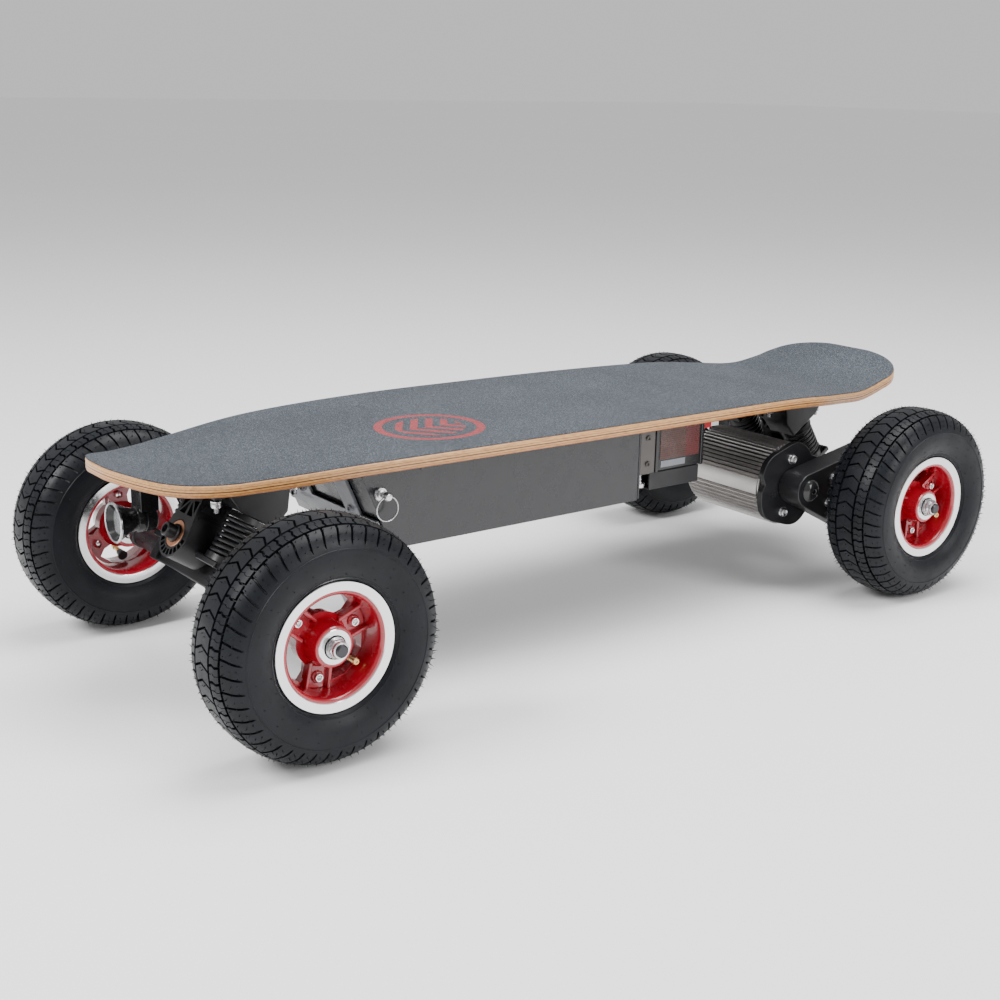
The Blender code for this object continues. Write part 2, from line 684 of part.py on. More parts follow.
def build_board():
    deck, grip = build_deck()
    fixed = [grip, *build_battery_case(), build_case_bracket(), *build_power_inlet()]
    fixed += [*build_controller(), *build_lamp(), build_motor_cable()]
    pin, ring = build_release_pin()
    fixed.append(pin)

    front = truck_frame("front_truck", FRONT_AXLE_Y, -1)
    rear = truck_frame("rear_truck", REAR_AXLE_Y, 1)
    front_plate = [(-437, 218.1), (-337, 224.4), (-337, 211), (-437, 204)]
    rear_plate = [(420, 214.7), (320, 222.4), (320, 209), (420, 201)]
    front_wedge = [(-413, 193.4), (-376, 169.4), (-361, 186), (-357, 212), (-425, 210)]
    rear_wedge = [(396, 193.4), (359, 169.4), (344, 186), (340, 212), (408, 207)]
    fixed.append(build_truck_base("truck_base_front", front, front_plate, front_wedge))
    fixed.append(build_truck_base("truck_base_rear", rear, rear_plate, rear_wedge))
    for label, near, far, lows in (
        ("front", -430, -346, (204.0, 209.8)),
        ("rear", 329, 413, (207.6, 201.0)),
    ):
        places = [(x, y) for y in (near, far) for x in (50, -50)]
        fixed += build_deck_bolts(label, places, [lows[0], lows[0], lows[1], lows[1]])
    for piece in fixed:
        attach(piece, deck)
    attach(ring, pin)

    for label, frame, axle_y in (("front", front, FRONT_AXLE_Y), ("rear", rear, REAR_AXLE_Y)):
        build_kingpin(f"kingpin_{label}", frame)
        build_bush(f"pivot_bush_{label}", frame)
        build_hanger(f"hanger_{label}", frame)
        attach(build_axle(f"axle_{label}", axle_y), frame)
        for side, name in ((1, "left"), (-1, "right")):
            own_side = side if label == "front" else -side
            build_spring(f"spring_{label}_{name}", frame, own_side)
            build_wheel(f"{label}_{name}", side * WHEEL_X, axle_y, frame)

    for piece in (build_motor(), build_mount_plate(), build_belt_cover(), build_belt(), build_rotor()):
        attach(piece, rear)
    build_wheel_pulley().parent = bpy.data.objects["spin_rear_left"]


clear_scene()
collection = bpy.data.collections.new("electric_skateboard")
bpy.context.scene.collection.children.link(collection)

maple = material("maple_ply", (0.62, 0.42, 0.24), 0.5)
grit = material("grip_tape", (0.16, 0.18, 0.2), 0.9)
black_steel = material("black_steel", (0.05, 0.05, 0.055), 0.4, 0.3)
grey_steel = material("grey_steel", (0.45, 0.46, 0.48), 0.4, 0.8)
steel = material("zinc_steel", (0.62, 0.62, 0.62), 0.3, 1.0)
copper = material("bush_copper", (0.6, 0.3, 0.18), 0.4, 0.8)
aluminium = material("motor_aluminium", (0.62, 0.62, 0.63), 0.35, 0.9)
black_plastic = material("black_plastic", (0.03, 0.03, 0.03), 0.5)
gloss_black = material("gloss_black", (0.02, 0.02, 0.02), 0.15)
switch_red = material("switch_red", (0.5, 0.03, 0.03), 0.4)
blue_wrap = material("battery_wrap", (0.05, 0.12, 0.4), 0.4)
rubber = material("tyre_rubber", (0.03, 0.03, 0.03), 0.8)
red_paint = material("rim_red", (0.6, 0.02, 0.03), 0.25)
clear_glass = material("lamp_glass", (0.8, 0.85, 0.85), 0.05)

build_board()
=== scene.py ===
"""The looks of an electric off-road skateboard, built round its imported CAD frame.

Lengths in this file are millimetres and become metres when a mesh is made. +Z is up, the nose
points to -Y and the rider's left is +X.
"""

import json
from math import acos, atan2, cos, hypot, pi, radians, sin, sqrt

import bmesh
import bpy
import numpy as np
from mathutils import Matrix, Vector


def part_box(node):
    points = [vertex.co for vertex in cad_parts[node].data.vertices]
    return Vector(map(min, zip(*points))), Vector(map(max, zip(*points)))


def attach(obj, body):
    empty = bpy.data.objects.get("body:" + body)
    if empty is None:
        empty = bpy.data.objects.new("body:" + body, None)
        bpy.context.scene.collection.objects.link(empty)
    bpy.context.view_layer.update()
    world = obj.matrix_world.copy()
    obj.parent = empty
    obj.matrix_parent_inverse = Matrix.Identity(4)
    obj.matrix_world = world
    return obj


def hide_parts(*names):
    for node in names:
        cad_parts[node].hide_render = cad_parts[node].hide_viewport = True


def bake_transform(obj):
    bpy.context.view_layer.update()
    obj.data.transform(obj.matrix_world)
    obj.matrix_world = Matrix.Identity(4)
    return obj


MM = 0.001
CORNERS = ("front_left", "front_right", "rear_left", "rear_right")

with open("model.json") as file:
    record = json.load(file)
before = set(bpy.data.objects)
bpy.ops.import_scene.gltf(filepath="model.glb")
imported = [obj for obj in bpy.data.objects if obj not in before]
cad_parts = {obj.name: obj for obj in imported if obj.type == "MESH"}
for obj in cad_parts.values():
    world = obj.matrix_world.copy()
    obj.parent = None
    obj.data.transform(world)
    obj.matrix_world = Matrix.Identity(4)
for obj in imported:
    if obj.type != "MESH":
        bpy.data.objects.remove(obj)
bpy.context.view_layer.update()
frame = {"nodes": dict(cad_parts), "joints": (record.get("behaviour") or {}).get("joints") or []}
nodes = frame["nodes"]
joints = {joint["name"]: joint for joint in frame["joints"]}


# ---------------------------------------------------------------- materials


class Recipe:
    """A Principled material with short calls for the nodes that feed it."""

    def __init__(self, name, roughness, metallic=0.0, colour=(0.5, 0.5, 0.5)):
        self.made = bpy.data.materials.new(name)
        self.made.use_nodes = True
        self.tree = self.made.node_tree
        self.shader = self.tree.nodes["Principled BSDF"]
        self.set("Base Color", (*colour, 1.0))
        self.set("Roughness", roughness)
        self.set("Metallic", metallic)
        self.place = self.node("ShaderNodeTexCoord").outputs["Object"]

    def node(self, kind, **settings):
        made = self.tree.nodes.new(kind)
        for key, value in settings.items():
            setattr(made, key, value)
        return made

    def feed(self, socket, value):
        """Links an output to a socket, or sets the socket's own value."""
        if isinstance(value, bpy.types.NodeSocket):
            self.tree.links.new(value, socket)
        else:
            socket.default_value = value

    def set(self, name, value):
        self.feed(self.shader.inputs[name], value)

    def stretched(self, scale):
        node = self.node("ShaderNodeMapping")
        self.feed(node.inputs["Vector"], self.place)
        node.inputs["Scale"].default_value = scale
        return node.outputs["Vector"]

    def noise(self, scale, detail=4.0, stretch=None):
        """Noise whose scale is in waves per metre."""
        node = self.node("ShaderNodeTexNoise")
        self.feed(node.inputs["Vector"], self.stretched(stretch) if stretch else self.place)
        node.inputs["Scale"].default_value = scale
        node.inputs["Detail"].default_value = detail
        return node.outputs["Fac"]

    def cells(self, scale, output="Distance"):
        node = self.node("ShaderNodeTexVoronoi")
        self.feed(node.inputs["Vector"], self.place)
        node.inputs["Scale"].default_value = scale
        return node.outputs[output]

    def maths(self, operation, a, b=0.0):
        node = self.node("ShaderNodeMath", operation=operation)
        self.feed(node.inputs[0], a)
        self.feed(node.inputs[1], b)
        return node.outputs[0]

    def remap(self, value, low, high, to_low=0.0, to_high=1.0):
        node = self.node("ShaderNodeMapRange")
        self.feed(node.inputs["Value"], value)
        for key, number in zip(("From Min", "From Max", "To Min", "To Max"), (low, high, to_low, to_high)):
            node.inputs[key].default_value = number
        return node.outputs["Result"]

    def ramp(self, value, stops):
        """A colour ramp from (position, colour) pairs."""
        node = self.node("ShaderNodeValToRGB")
        marks = node.color_ramp.elements
        while len(marks) < len(stops):
            marks.new(0.5)
        for mark, (position, colour) in zip(marks, stops):
            mark.position = position
            mark.color = (*colour, 1.0)
        self.feed(node.inputs["Fac"], value)
        return node.outputs["Color"]

    def mix(self, amount, first, second, blend="MIX"):
        node = self.node("ShaderNodeMix", data_type="RGBA", blend_type=blend)
        self.feed(node.inputs[0], amount)
        for socket, colour in ((node.inputs[6], first), (node.inputs[7], second)):
            self.feed(socket, colour if isinstance(colour, bpy.types.NodeSocket) else (*colour, 1.0))
        return node.outputs[2]

    def axes(self):
        node = self.node("ShaderNodeSeparateXYZ")
        self.feed(node.inputs[0], self.place)
        return node.outputs

    def bump(self, height, distance_mm):
        """Adds a bump whose full height is this many millimetres, on top of any bump already there."""
        node = self.node("ShaderNodeBump")
        node.inputs["Distance"].default_value = distance_mm * MM
        self.feed(node.inputs["Height"], height)
        normal = self.shader.inputs["Normal"]
        if normal.is_linked:
            self.feed(node.inputs["Normal"], normal.links[0].from_socket)
        self.feed(normal, node.outputs["Normal"])

    def soften(self, low, high, scale=60.0):
        """Roughness that wanders between two values."""
        self.set("Roughness", self.remap(self.noise(scale, 5), 0.3, 0.7, low, high))


def tint(colour, factor):
    return tuple(min(channel * factor, 1.0) for channel in colour)


def coated(name, colour, low, high, cloud, spread, peel, depth, coat=0.0):
    """A surface with slight cloudiness, a fine texture and duller patches."""
    made = Recipe(name, low)
    pale, deep = tint(colour, spread[0]), tint(colour, spread[1])
    made.set("Base Color", made.mix(made.noise(*cloud), pale, deep))
    made.soften(low, high)
    made.bump(made.noise(*peel), depth)
    made.set("Coat Weight", coat)
    made.set("Coat Roughness", 0.06)
    return made.made


def painted(name, colour, low, high, grain=0.0, coat=0.0):
    """A paint or powder coat with an orange-peel surface."""
    return coated(name, colour, low, high, (35, 6), (0.85, 1.15), (900, 3), 0.03 + grain, coat)


def metal(name, colour, low, high, stretch=(1, 1, 1)):
    """Bare metal: brushed along one axis where stretch says so, with faint staining."""
    bare = Recipe(name, low, 1.0)
    streaks = bare.noise(260, 6, stretch)
    bare.set("Base Color", bare.mix(bare.noise(50, 5), tint(colour, 0.88), tint(colour, 1.08)))
    bare.set("Roughness", bare.remap(streaks, 0.3, 0.7, low, high))
    bare.bump(streaks, 0.02)
    return bare.made


def grip_material():
    """Grit sheet: dark blue-grey, with grains in random tones whose lightest few are painted glints, and a
    printed mark in worn red.
    """
    grip = Recipe("grip_grit", 0.8)
    grains = grip.node("ShaderNodeSeparateColor")
    grip.feed(grains.inputs[0], grip.cells(1500, "Color"))
    # Grain tones that differ at random; the lightest few grains are painted light as painted glints.
    grain_tones_and_glints = grip.ramp(grains.outputs[0], [
        (0.0, (0.022, 0.027, 0.034)), (0.45, (0.038, 0.046, 0.057)),
        (0.8, (0.062, 0.073, 0.088)), (0.97, (0.17, 0.19, 0.21)),
    ])
    wear = grip.remap(grip.noise(9, 5), 0.35, 0.7, 0.86, 1.1)
    mark = grip.mix(grains.outputs[1], (0.12, 0.016, 0.020), (0.40, 0.075, 0.085))
    grip.set("Base Color", grip.mix(mark_mask(grip), grip.mix(1.0, grain_tones_and_glints, wear, "MULTIPLY"), mark))
    grip.set("Roughness", grip.remap(grains.outputs[2], 0, 1, 0.55, 0.95))
    grip.bump(grip.cells(1500), 0.35)
    grip.set("Specular IOR Level", 0.35)
    return grip.made


MARK = Vector((42.0, -179.0)) * MM
MARK_RADIUS = 54.0 * MM


def mark_mask(grip):
    """A plain ring round three chevrons that point to the nose."""
    do = grip.maths
    x, y, _ = grip.axes()
    u = do("SUBTRACT", x, MARK.x)
    v = do("SUBTRACT", y, MARK.y)
    away = do("SQRT", do("ADD", do("MULTIPLY", u, u), do("MULTIPLY", v, v)))
    ring = do("LESS_THAN", do("ABSOLUTE", do("SUBTRACT", away, MARK_RADIUS)), 4.5 * MM)
    slope = do("SUBTRACT", v, do("MULTIPLY", do("ABSOLUTE", u), 0.7))
    stripe = do("FRACT", do("ADD", do("DIVIDE", slope, 19 * MM), 20.3))
    bars = do("MULTIPLY", do("LESS_THAN", stripe, 0.5), do("LESS_THAN", away, 38 * MM))
    return do("MAXIMUM", ring, bars)


def ply_material():
    """The lacquered edge of the plywood: pale veneers, thin glue lines and a darker lower edge."""
    ply = Recipe("ply_edge", 0.45)
    depth = ply.node("ShaderNodeAttribute", attribute_name="depth").outputs["Fac"]
    grain = ply.noise(120, 6, (6, 1, 6))
    warm = ply.ramp(grain, [
        (0.25, (0.40, 0.20, 0.075)), (0.55, (0.60, 0.34, 0.14)), (0.8, (0.70, 0.43, 0.20)),
    ])
    layers = ply.ramp(depth, [
        (0.00, (0.30, 0.22, 0.15)), (0.04, (0.95, 0.86, 0.74)), (0.30, (1.0, 0.94, 0.84)),
        (0.33, (0.30, 0.19, 0.12)), (0.37, (0.98, 0.88, 0.74)), (0.50, (1.0, 0.92, 0.80)),
        (0.525, (0.05, 0.03, 0.02)), (0.575, (0.06, 0.035, 0.02)), (0.60, (0.95, 0.82, 0.64)),
        (0.73, (0.96, 0.84, 0.68)), (0.755, (0.22, 0.13, 0.08)), (0.79, (0.90, 0.72, 0.50)),
        (0.90, (0.78, 0.56, 0.34)), (0.94, (0.48, 0.28, 0.15)), (1.0, (0.30, 0.17, 0.09)),
    ])
    ply.set("Base Color", ply.mix(1.0, warm, layers, "MULTIPLY"))
    ply.set("Coat Weight", 0.35)
    ply.set("Coat Roughness", 0.2)
    ply.bump(grain, 0.06)
    return ply.made


def underside_material():
    """The underside of the deck: dark stained veneer with its grain along the board."""
    wood = Recipe("deck_underside", 0.4)
    grain = wood.noise(160, 7, (5, 0.5, 1))
    wood.set("Base Color", wood.ramp(grain, [(0.3, (0.012, 0.011, 0.012)), (0.7, (0.035, 0.03, 0.03))]))
    wood.soften(0.3, 0.5)
    wood.bump(grain, 0.08)
    return wood.made


def tyre_material():
    """Moulded rubber: blue-black, with mould bloom and fine pitting."""
    rubber = Recipe("tyre_compound", 0.5)
    cloud = rubber.noise(28, 6)
    shades = [(0.3, (0.0030, 0.0036, 0.0052)), (0.7, (0.0065, 0.0078, 0.0108))]
    rubber.set("Base Color", rubber.ramp(cloud, shades))
    rubber.soften(0.34, 0.5, 45)
    rubber.bump(rubber.noise(1400, 3), 0.06)
    rubber.bump(rubber.noise(240, 4), 0.12)
    rubber.set("Specular IOR Level", 0.22)
    return rubber.made


def plastic(name, colour, low, high, grain=0.05):
    """Moulded plastic with a spark-eroded grain."""
    return coated(name, colour, low, high, (30, 5), (0.8, 1.25), (1600, 2), grain)


def wheel_paint():
    """Candy-red enamel over the cast rim, deeper in colour where it pools."""
    red = Recipe("rim_enamel", 0.25)
    shades = [(0.3, (0.27, 0.004, 0.012)), (0.7, (0.42, 0.007, 0.021))]
    red.set("Base Color", red.ramp(red.noise(40, 5), shades))
    red.soften(0.16, 0.3)
    red.bump(red.noise(700, 3), 0.04)
    red.set("Coat Weight", 0.8)
    red.set("Coat Roughness", 0.05)
    return red.made


def lens_material():
    glass = Recipe("lens_polycarbonate", 0.08, colour=(0.9, 0.93, 0.93))
    glass.set("Transmission Weight", 0.85)
    glass.set("IOR", 1.5)
    glass.bump(glass.noise(500, 2), 0.02)
    return glass.made


def label_material():
    """A plain rating-plate sticker: blocks of warm red and brown, with no lettering."""
    label = Recipe("label_print", 0.35)
    _, y, z = label.axes()
    lines = label.maths("LESS_THAN", label.maths("FRACT", label.maths("MULTIPLY", z, 420.0)), 0.5)
    breaks = label.remap(label.noise(900, 2, (1, 1, 0.2)), 0.45, 0.5)
    ink = label.maths("MULTIPLY", lines, breaks)
    left = label.mix(ink, (0.085, 0.030, 0.022), (0.018, 0.009, 0.009))
    right = label.mix(ink, (0.12, 0.018, 0.016), (0.03, 0.006, 0.006))
    label.set("Base Color", label.mix(label.maths("GREATER_THAN", y, 0.142), left, right))
    label.soften(0.2, 0.4)
    return label.made


red_enamel = wheel_paint()
lip_metal = metal("rim_lip_polish", (0.84, 0.84, 0.84), 0.1, 0.22)
steel = metal("zinc_plate", (0.66, 0.66, 0.67), 0.2, 0.38)
dark_steel = metal("black_oxide", (0.07, 0.07, 0.075), 0.3, 0.45)
brass = metal("valve_brass", (0.75, 0.52, 0.22), 0.2, 0.35)
copper = metal("bush_copper_face", (0.62, 0.30, 0.18), 0.3, 0.45)
extrusion = metal("motor_extrusion", (0.60, 0.575, 0.56), 0.34, 0.48, (0.06, 1, 1))
# Dark metal for the bottoms of the motor's rib grooves: painted shade in the grooves.
groove_shade_metal = metal("motor_groove_painted_shade", (0.13, 0.12, 0.118), 0.45, 0.6, (0.06, 1, 1))
casting = painted("black_casting", (0.009, 0.009, 0.0105), 0.26, 0.4, 0.03)
sheet_black = painted("case_enamel", (0.016, 0.016, 0.019), 0.18, 0.32, 0.0, 0.15)
grey_coat = painted("strap_coat", (0.20, 0.21, 0.23), 0.3, 0.45, 0.02, 0.1)
plate_coat = painted("joining_plate_coat", (0.075, 0.066, 0.060), 0.3, 0.45, 0.02, 0.1)
spring_paint = painted("spring_paint", (0.010, 0.010, 0.012), 0.32, 0.46, 0.0, 0.1)
black_plastic = plastic("moulded_black", (0.009, 0.009, 0.0105), 0.28, 0.45)
gloss_black = plastic("gloss_black", (0.012, 0.012, 0.013), 0.12, 0.22, 0.01)
cover_black = plastic("cover_black", (0.010, 0.010, 0.0115), 0.3, 0.42, 0.07)
cable_black = plastic("cable_sheath", (0.012, 0.012, 0.013), 0.4, 0.55)
red_plastic = plastic("red_plastic", (0.45, 0.02, 0.025), 0.3, 0.42)
white_plastic = plastic("white_plastic", (0.75, 0.75, 0.73), 0.35, 0.45)
film_blue = plastic("pack_film", (0.03, 0.09, 0.33), 0.25, 0.4)
tyre_rubber = tyre_material()
grit = grip_material()
ply = ply_material()
underside = underside_material()
lens_glass = lens_material()
label_print = label_material()


# ---------------------------------------------------------------- modelling helpers


def add(name, shape, material, angle=40.0):
    """Makes an object from a bmesh, shaded smooth except at edges sharper than the angle."""
    bmesh.ops.recalc_face_normals(shape, faces=shape.faces)
    mesh = bpy.data.meshes.new(name)
    shape.to_mesh(mesh)
    shape.free()
    mesh.shade_smooth()
    mesh.set_sharp_from_angle(angle=radians(angle))
    mesh.materials.append(material)
    return linked(bpy.data.objects.new(name, mesh))


def linked(obj):
    """Puts an object into the scene."""
    bpy.context.scene.collection.objects.link(obj)
    return obj


def applied(obj):
    """Bakes the object's modifiers into its mesh."""
    bpy.context.view_layer.update()
    mesh = bpy.data.meshes.new_from_object(obj.evaluated_get(bpy.context.evaluated_depsgraph_get()))
    obj.modifiers.clear()
    obj.data = mesh
    return obj


def rounded(obj, width, segments=2, angle=35.0):
    """Rolls every edge sharper than the angle."""
    bevel = obj.modifiers.new("edge", "BEVEL")
    bevel.width = width * MM
    bevel.segments = segments
    bevel.limit_method = "ANGLE"
    bevel.angle_limit = radians(angle)
    bevel.harden_normals = True
    return applied(obj)


def triangulated(obj):
    """Splits the faces in the piece's own frame, so that one with a hole splits the same way in any pose."""
    shape = bmesh.new()
    shape.from_mesh(obj.data)
    bmesh.ops.triangulate(shape, faces=shape.faces)
    shape.to_mesh(obj.data)
    shape.free()
    return obj


def joined(first, *others, name=None):
    """Puts several pieces of one material into one object, without merging their surfaces."""
    shape = bmesh.new()
    mesh = first.data
    shape.from_mesh(mesh)
    for other in others:
        copy = other.data.copy()
        copy.transform(first.matrix_world.inverted() @ other.matrix_world)
        shape.from_mesh(copy)
        bpy.data.objects.remove(other, do_unlink=True)
    shape.to_mesh(mesh)
    shape.free()
    first.name = name or first.name
    return first


def boolean(obj, operation, *tools):
    """Applies a Boolean with each tool in turn, and removes the tools."""
    for tool in tools:
        step = obj.modifiers.new("step", "BOOLEAN")
        step.operation = operation
        step.object = tool
        applied(obj)
        bpy.data.objects.remove(tool, do_unlink=True)
    return obj


def cut(obj, *tools):
    return boolean(obj, "DIFFERENCE", *tools)


def bored(obj, radius, low, high, axis="X", place=(0.0, 0.0, 0.0), steps=40):
    """Drills a round hole along an axis."""
    drill = disc("drill", low, high, radius, obj.data.materials[0], steps, axis)
    return cut(obj, moved(drill, *place))


def box(name, low, high, material):
    shape = bmesh.new()
    bmesh.ops.create_cube(shape, size=1.0)
    low, high = Vector(low) * MM, Vector(high) * MM
    bmesh.ops.scale(shape, vec=high - low, verts=shape.verts)
    bmesh.ops.translate(shape, vec=(low + high) / 2, verts=shape.verts)
    return add(name, shape, material)


def side_box(name, side, x, y, z, material):
    """A box on one side of the board; x, y and z are (low, high) as they are on the left."""
    low, high = sorted((side * x[0], side * x[1]))
    return box(name, (low, y[0], z[0]), (high, y[1], z[1]), material)


def on_axis(axis, u, v, w):
    """A vector with w along the axis and u and v across it."""
    return Vector({"X": (w, u, v), "Y": (u, w, v), "Z": (u, v, w)}[axis])


def prism(name, outline, low, high, material, axis="X"):
    """An outline pushed along an axis, from low to high."""
    shape = bmesh.new()
    face = shape.faces.new([shape.verts.new(on_axis(axis, u, v, low) * MM) for u, v in outline])
    pushed = bmesh.ops.extrude_face_region(shape, geom=[face], use_keep_orig=True)
    verts = [item for item in pushed["geom"] if isinstance(item, bmesh.types.BMVert)]
    bmesh.ops.translate(shape, vec=on_axis(axis, 0, 0, high - low) * MM, verts=verts)
    return add(name, shape, material)


def turned(name, profile, material, steps=64, axis="X", angle=30.0):
    """A closed profile of (along, radius) turned about an axis."""
    shape = bmesh.new()
    verts = [shape.verts.new(on_axis(axis, radius, 0, along) * MM) for along, radius in profile]
    edges = [
        shape.edges.new((verts[k - 1], verts[k]))
        for k in range(len(verts)) if profile[k][1] > 0 or profile[k - 1][1] > 0
    ]
    bmesh.ops.spin(
        shape, geom=verts + edges, cent=(0, 0, 0), axis=on_axis(axis, 0, 0, 1), angle=2 * pi,
        steps=steps, use_merge=True,
    )
    bmesh.ops.remove_doubles(shape, verts=shape.verts, dist=1e-6)
    return add(name, shape, material, angle)


def disc(name, low, high, radius, material, steps=40, axis="X", hole=0.0):
    """A round plug, or a ring when it has a hole."""
    profile = [(low, hole), (low, radius), (high, radius), (high, hole)]
    return turned(name, profile, material, steps, axis)


def stitch(shape, rings):
    """Faces between each ring of vertices and the next."""
    for first, second in zip(rings, rings[1:]):
        for i in range(len(first)):
            j = (i + 1) % len(first)
            shape.faces.new((first[i], first[j], second[j], second[i]))


def tube(name, points, radius, material, sides=10):
    """A round wire through the points, with a frame carried along it so that it doesn't twist."""
    path = [Vector(point) for point in points]
    shape = bmesh.new()
    rings = []
    normal = None
    for k, point in enumerate(path):
        along = (path[min(k + 1, len(path) - 1)] - path[max(k - 1, 0)]).normalized()
        if normal is None:
            normal = along.orthogonal().normalized()
        normal = (normal - along * normal.dot(along)).normalized()
        side = along.cross(normal)
        ring = []
        for i in range(sides):
            angle = 2 * pi * i / sides
            offset = normal * cos(angle) + side * sin(angle)
            ring.append(shape.verts.new((point + offset * radius) * MM))
        rings.append(ring)
    stitch(shape, rings)
    shape.faces.new(rings[0])
    shape.faces.new(rings[-1])
    return add(name, shape, material, 60.0)


def curve_through(points, per_span=8):
    """Points on a smooth line through the given ones."""
    path = [Vector(point) for point in points]
    path = [path[0] * 2 - path[1], *path, path[-1] * 2 - path[-2]]
    smooth = []
    for a, b, c, d in zip(path, path[1:], path[2:], path[3:]):
        square, cube = 2 * a - 5 * b + 4 * c - d, 3 * b - a - 3 * c + d
        for k in range(per_span):
            t = k / per_span
            smooth.append(0.5 * (2 * b + (c - a) * t + square * t**2 + cube * t**3))
    return smooth + [path[-2]]


def circle(radius, steps, centre=(0.0, 0.0), start=0.0, sweep=2 * pi):
    ends = steps if sweep >= 2 * pi else steps - 1
    return [
        (
            centre[0] + radius * cos(start + sweep * k / ends),
            centre[1] + radius * sin(start + sweep * k / ends),
        )
        for k in range(steps)
    ]


def belt_outline(small, large, steps):
    """The outline around two circles, each given as ((y, z), radius), the small one further forward."""
    (y0, z0), r0 = small
    (y1, z1), r1 = large
    heading = atan2(z1 - z0, y1 - y0)
    lean = acos((r0 - r1) / hypot(y1 - y0, z1 - z0))
    front = circle(r0, steps, (y0, z0), heading + lean, 2 * pi - 2 * lean)
    return front + circle(r1, steps, (y1, z1), heading - lean, 2 * lean)


def moved(obj, x=0.0, y=0.0, z=0.0):
    obj.data.transform(Matrix.Translation(Vector((x, y, z)) * MM))
    return obj


def spun(obj, degrees, axis="X"):
    obj.data.transform(Matrix.Rotation(radians(degrees), 4, axis))
    return obj


def faced(obj, side):
    """Turns a piece made for the left side round when it goes on the right."""
    return obj if side > 0 else spun(obj, 180, "Z")


def hex_head(name, across, low, high, material, axis="X"):
    """A hexagon nut or head with chamfered corners."""
    corner = across / sqrt(3)
    flat, edge = across / 2, corner * 1.01
    shape = prism(name, circle(corner, 6), low, high, material, axis)
    limit = turned("limit", [
        (low - 1, 0), (low - 1, flat), (low + 0.1, flat * 1.01), (low + 1.2, edge),
        (high - 1.2, edge), (high - 0.1, flat * 1.01), (high + 1, flat), (high + 1, 0),
    ], material, 36, axis)
    return boolean(shape, "INTERSECT", limit)


def socket_screw(name, radius, height, material, axis="X"):
    """A cap screw's head standing on the plane at 0, with a hexagon socket in it."""
    head = turned(name, [
        (-1, 0), (-1, radius), (height * 0.75, radius), (height * 0.93, radius * 0.93),
        (height, radius * 0.82), (height, 0),
    ], material, 28, axis, 50.0)
    return cut(head, prism("socket", circle(radius * 0.52, 6), height * 0.4, height + 2, material, axis))


def stands_for(obj, body, slot, *replaced):
    """Rides a finished piece on its body and hides the CAD nodes that it replaces."""
    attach(obj, body)
    if replaced:
        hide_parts(*replaced)
    return obj


def resurface(node, material):
    """Gives a CAD node that stays visible its own material."""
    for place in nodes[node].material_slots:
        place.material = material


# ---------------------------------------------------------------- deck

DECK_SIDES = (
    (-429, 101), (-349, 122), (-269, 135), (-149, 143), (0, 144),
    (131, 142), (251, 136.5), (331, 131), (401, 117), (471, 107),
)
DECK_TOP = (
    (-529, 244), (-489, 234), (-449, 231.5), (-409, 233.5), (-309, 240.5),
    (-159, 243.5), (0, 243), (141, 241.8), (291, 238.6), (371, 232.4),
    (421, 229), (451, 232.5), (491, 242), (511, 249.7), (531, 258.7),
)
NOSE_Y = -529.0
TAIL_Y = 531.0
PLY_THICK = 12.0


def hermite(t, span, start, start_slope, end, end_slope):
    """The cubic between two values with the given slopes, where t runs from 0 to 1 over the span."""
    return (
        (2 * t**3 - 3 * t**2 + 1) * start
        + (t**3 - 2 * t**2 + t) * span * start_slope
        + (3 * t**2 - 2 * t**3) * end
        + (t**3 - t**2) * span * end_slope
    )


def smooth_curve(table, at):
    """The value at a place on the smooth line through a table of (place, value)."""
    last = len(table) - 1
    k = 0
    while k < last - 1 and at > table[k + 1][0]:
        k += 1

    def slope(i):
        low, high = max(i - 1, 0), min(i + 1, last)
        return (table[high][1] - table[low][1]) / (table[high][0] - table[low][0])

    (x0, v0), (x1, v1) = table[k], table[k + 1]
    return hermite((at - x0) / (x1 - x0), x1 - x0, v0, slope(k), v1, slope(k + 1))


def deck_half_width(y):
    if y < DECK_SIDES[0][0]:
        start, half = DECK_SIDES[0]
        t = (start - y) / (start - NOSE_Y)
        return (half - 0.38 * (start - y)) * max(1 - t**4.0, 0.0) ** (1 / 2.5)
    if y > DECK_SIDES[-1][0]:
        start, half = DECK_SIDES[-1]
        t = (y - start) / (TAIL_Y - start)
        return half * max(1 - t**2.8, 0.0) ** (1 / 2.3)
    return smooth_curve(DECK_SIDES, y)


def deck_outline():
    """(x, y) round the left half of the deck's edge, from the nose's tip to the tail's."""
    nose_start, tail_start = DECK_SIDES[0][0], DECK_SIDES[-1][0]
    stations = [NOSE_Y + (nose_start - NOSE_Y) * (1 - cos(pi * k / 96)) for k in range(48)]
    stations += [nose_start + (tail_start - nose_start) * k / 90 for k in range(91)]
    stations += [TAIL_Y - (TAIL_Y - tail_start) * (1 - cos(pi * k / 96)) for k in range(47, -1, -1)]
    return [(deck_half_width(y), y) for y in stations]


def deck_layer(name, section, material, thick):
    """A closed sheet that follows the deck. The section is (inset, depth under the top) down its edge."""
    shape = bmesh.new()
    depth_of = shape.verts.layers.float.new("depth")
    across = (0.92, 0.7, 0.35, 0.0, -0.35, -0.7, -0.92)
    rings = []
    for half, y in deck_outline():
        around = [(1, point) for point in section]
        around += [(share, section[-1]) for share in across]
        around += [(-1, point) for point in section[::-1]]
        around += [(-share, section[0]) for share in across]
        ring = []
        for share, (inset, depth) in around:
            at = min(max(y, NOSE_Y + inset), TAIL_Y - inset)
            x = share * max(half - inset, 0.0)
            vert = shape.verts.new(Vector((x, at, smooth_curve(DECK_TOP, at) - depth)) * MM)
            vert[depth_of] = min(max((depth - section[0][1]) / thick, 0.0), 1.0)
            ring.append(vert)
        rings.append(ring)
    stitch(shape, rings)
    bmesh.ops.remove_doubles(shape, verts=shape.verts, dist=2e-6)
    bmesh.ops.dissolve_degenerate(shape, dist=1e-6, edges=shape.edges)
    return add(name, shape, material, 50.0)


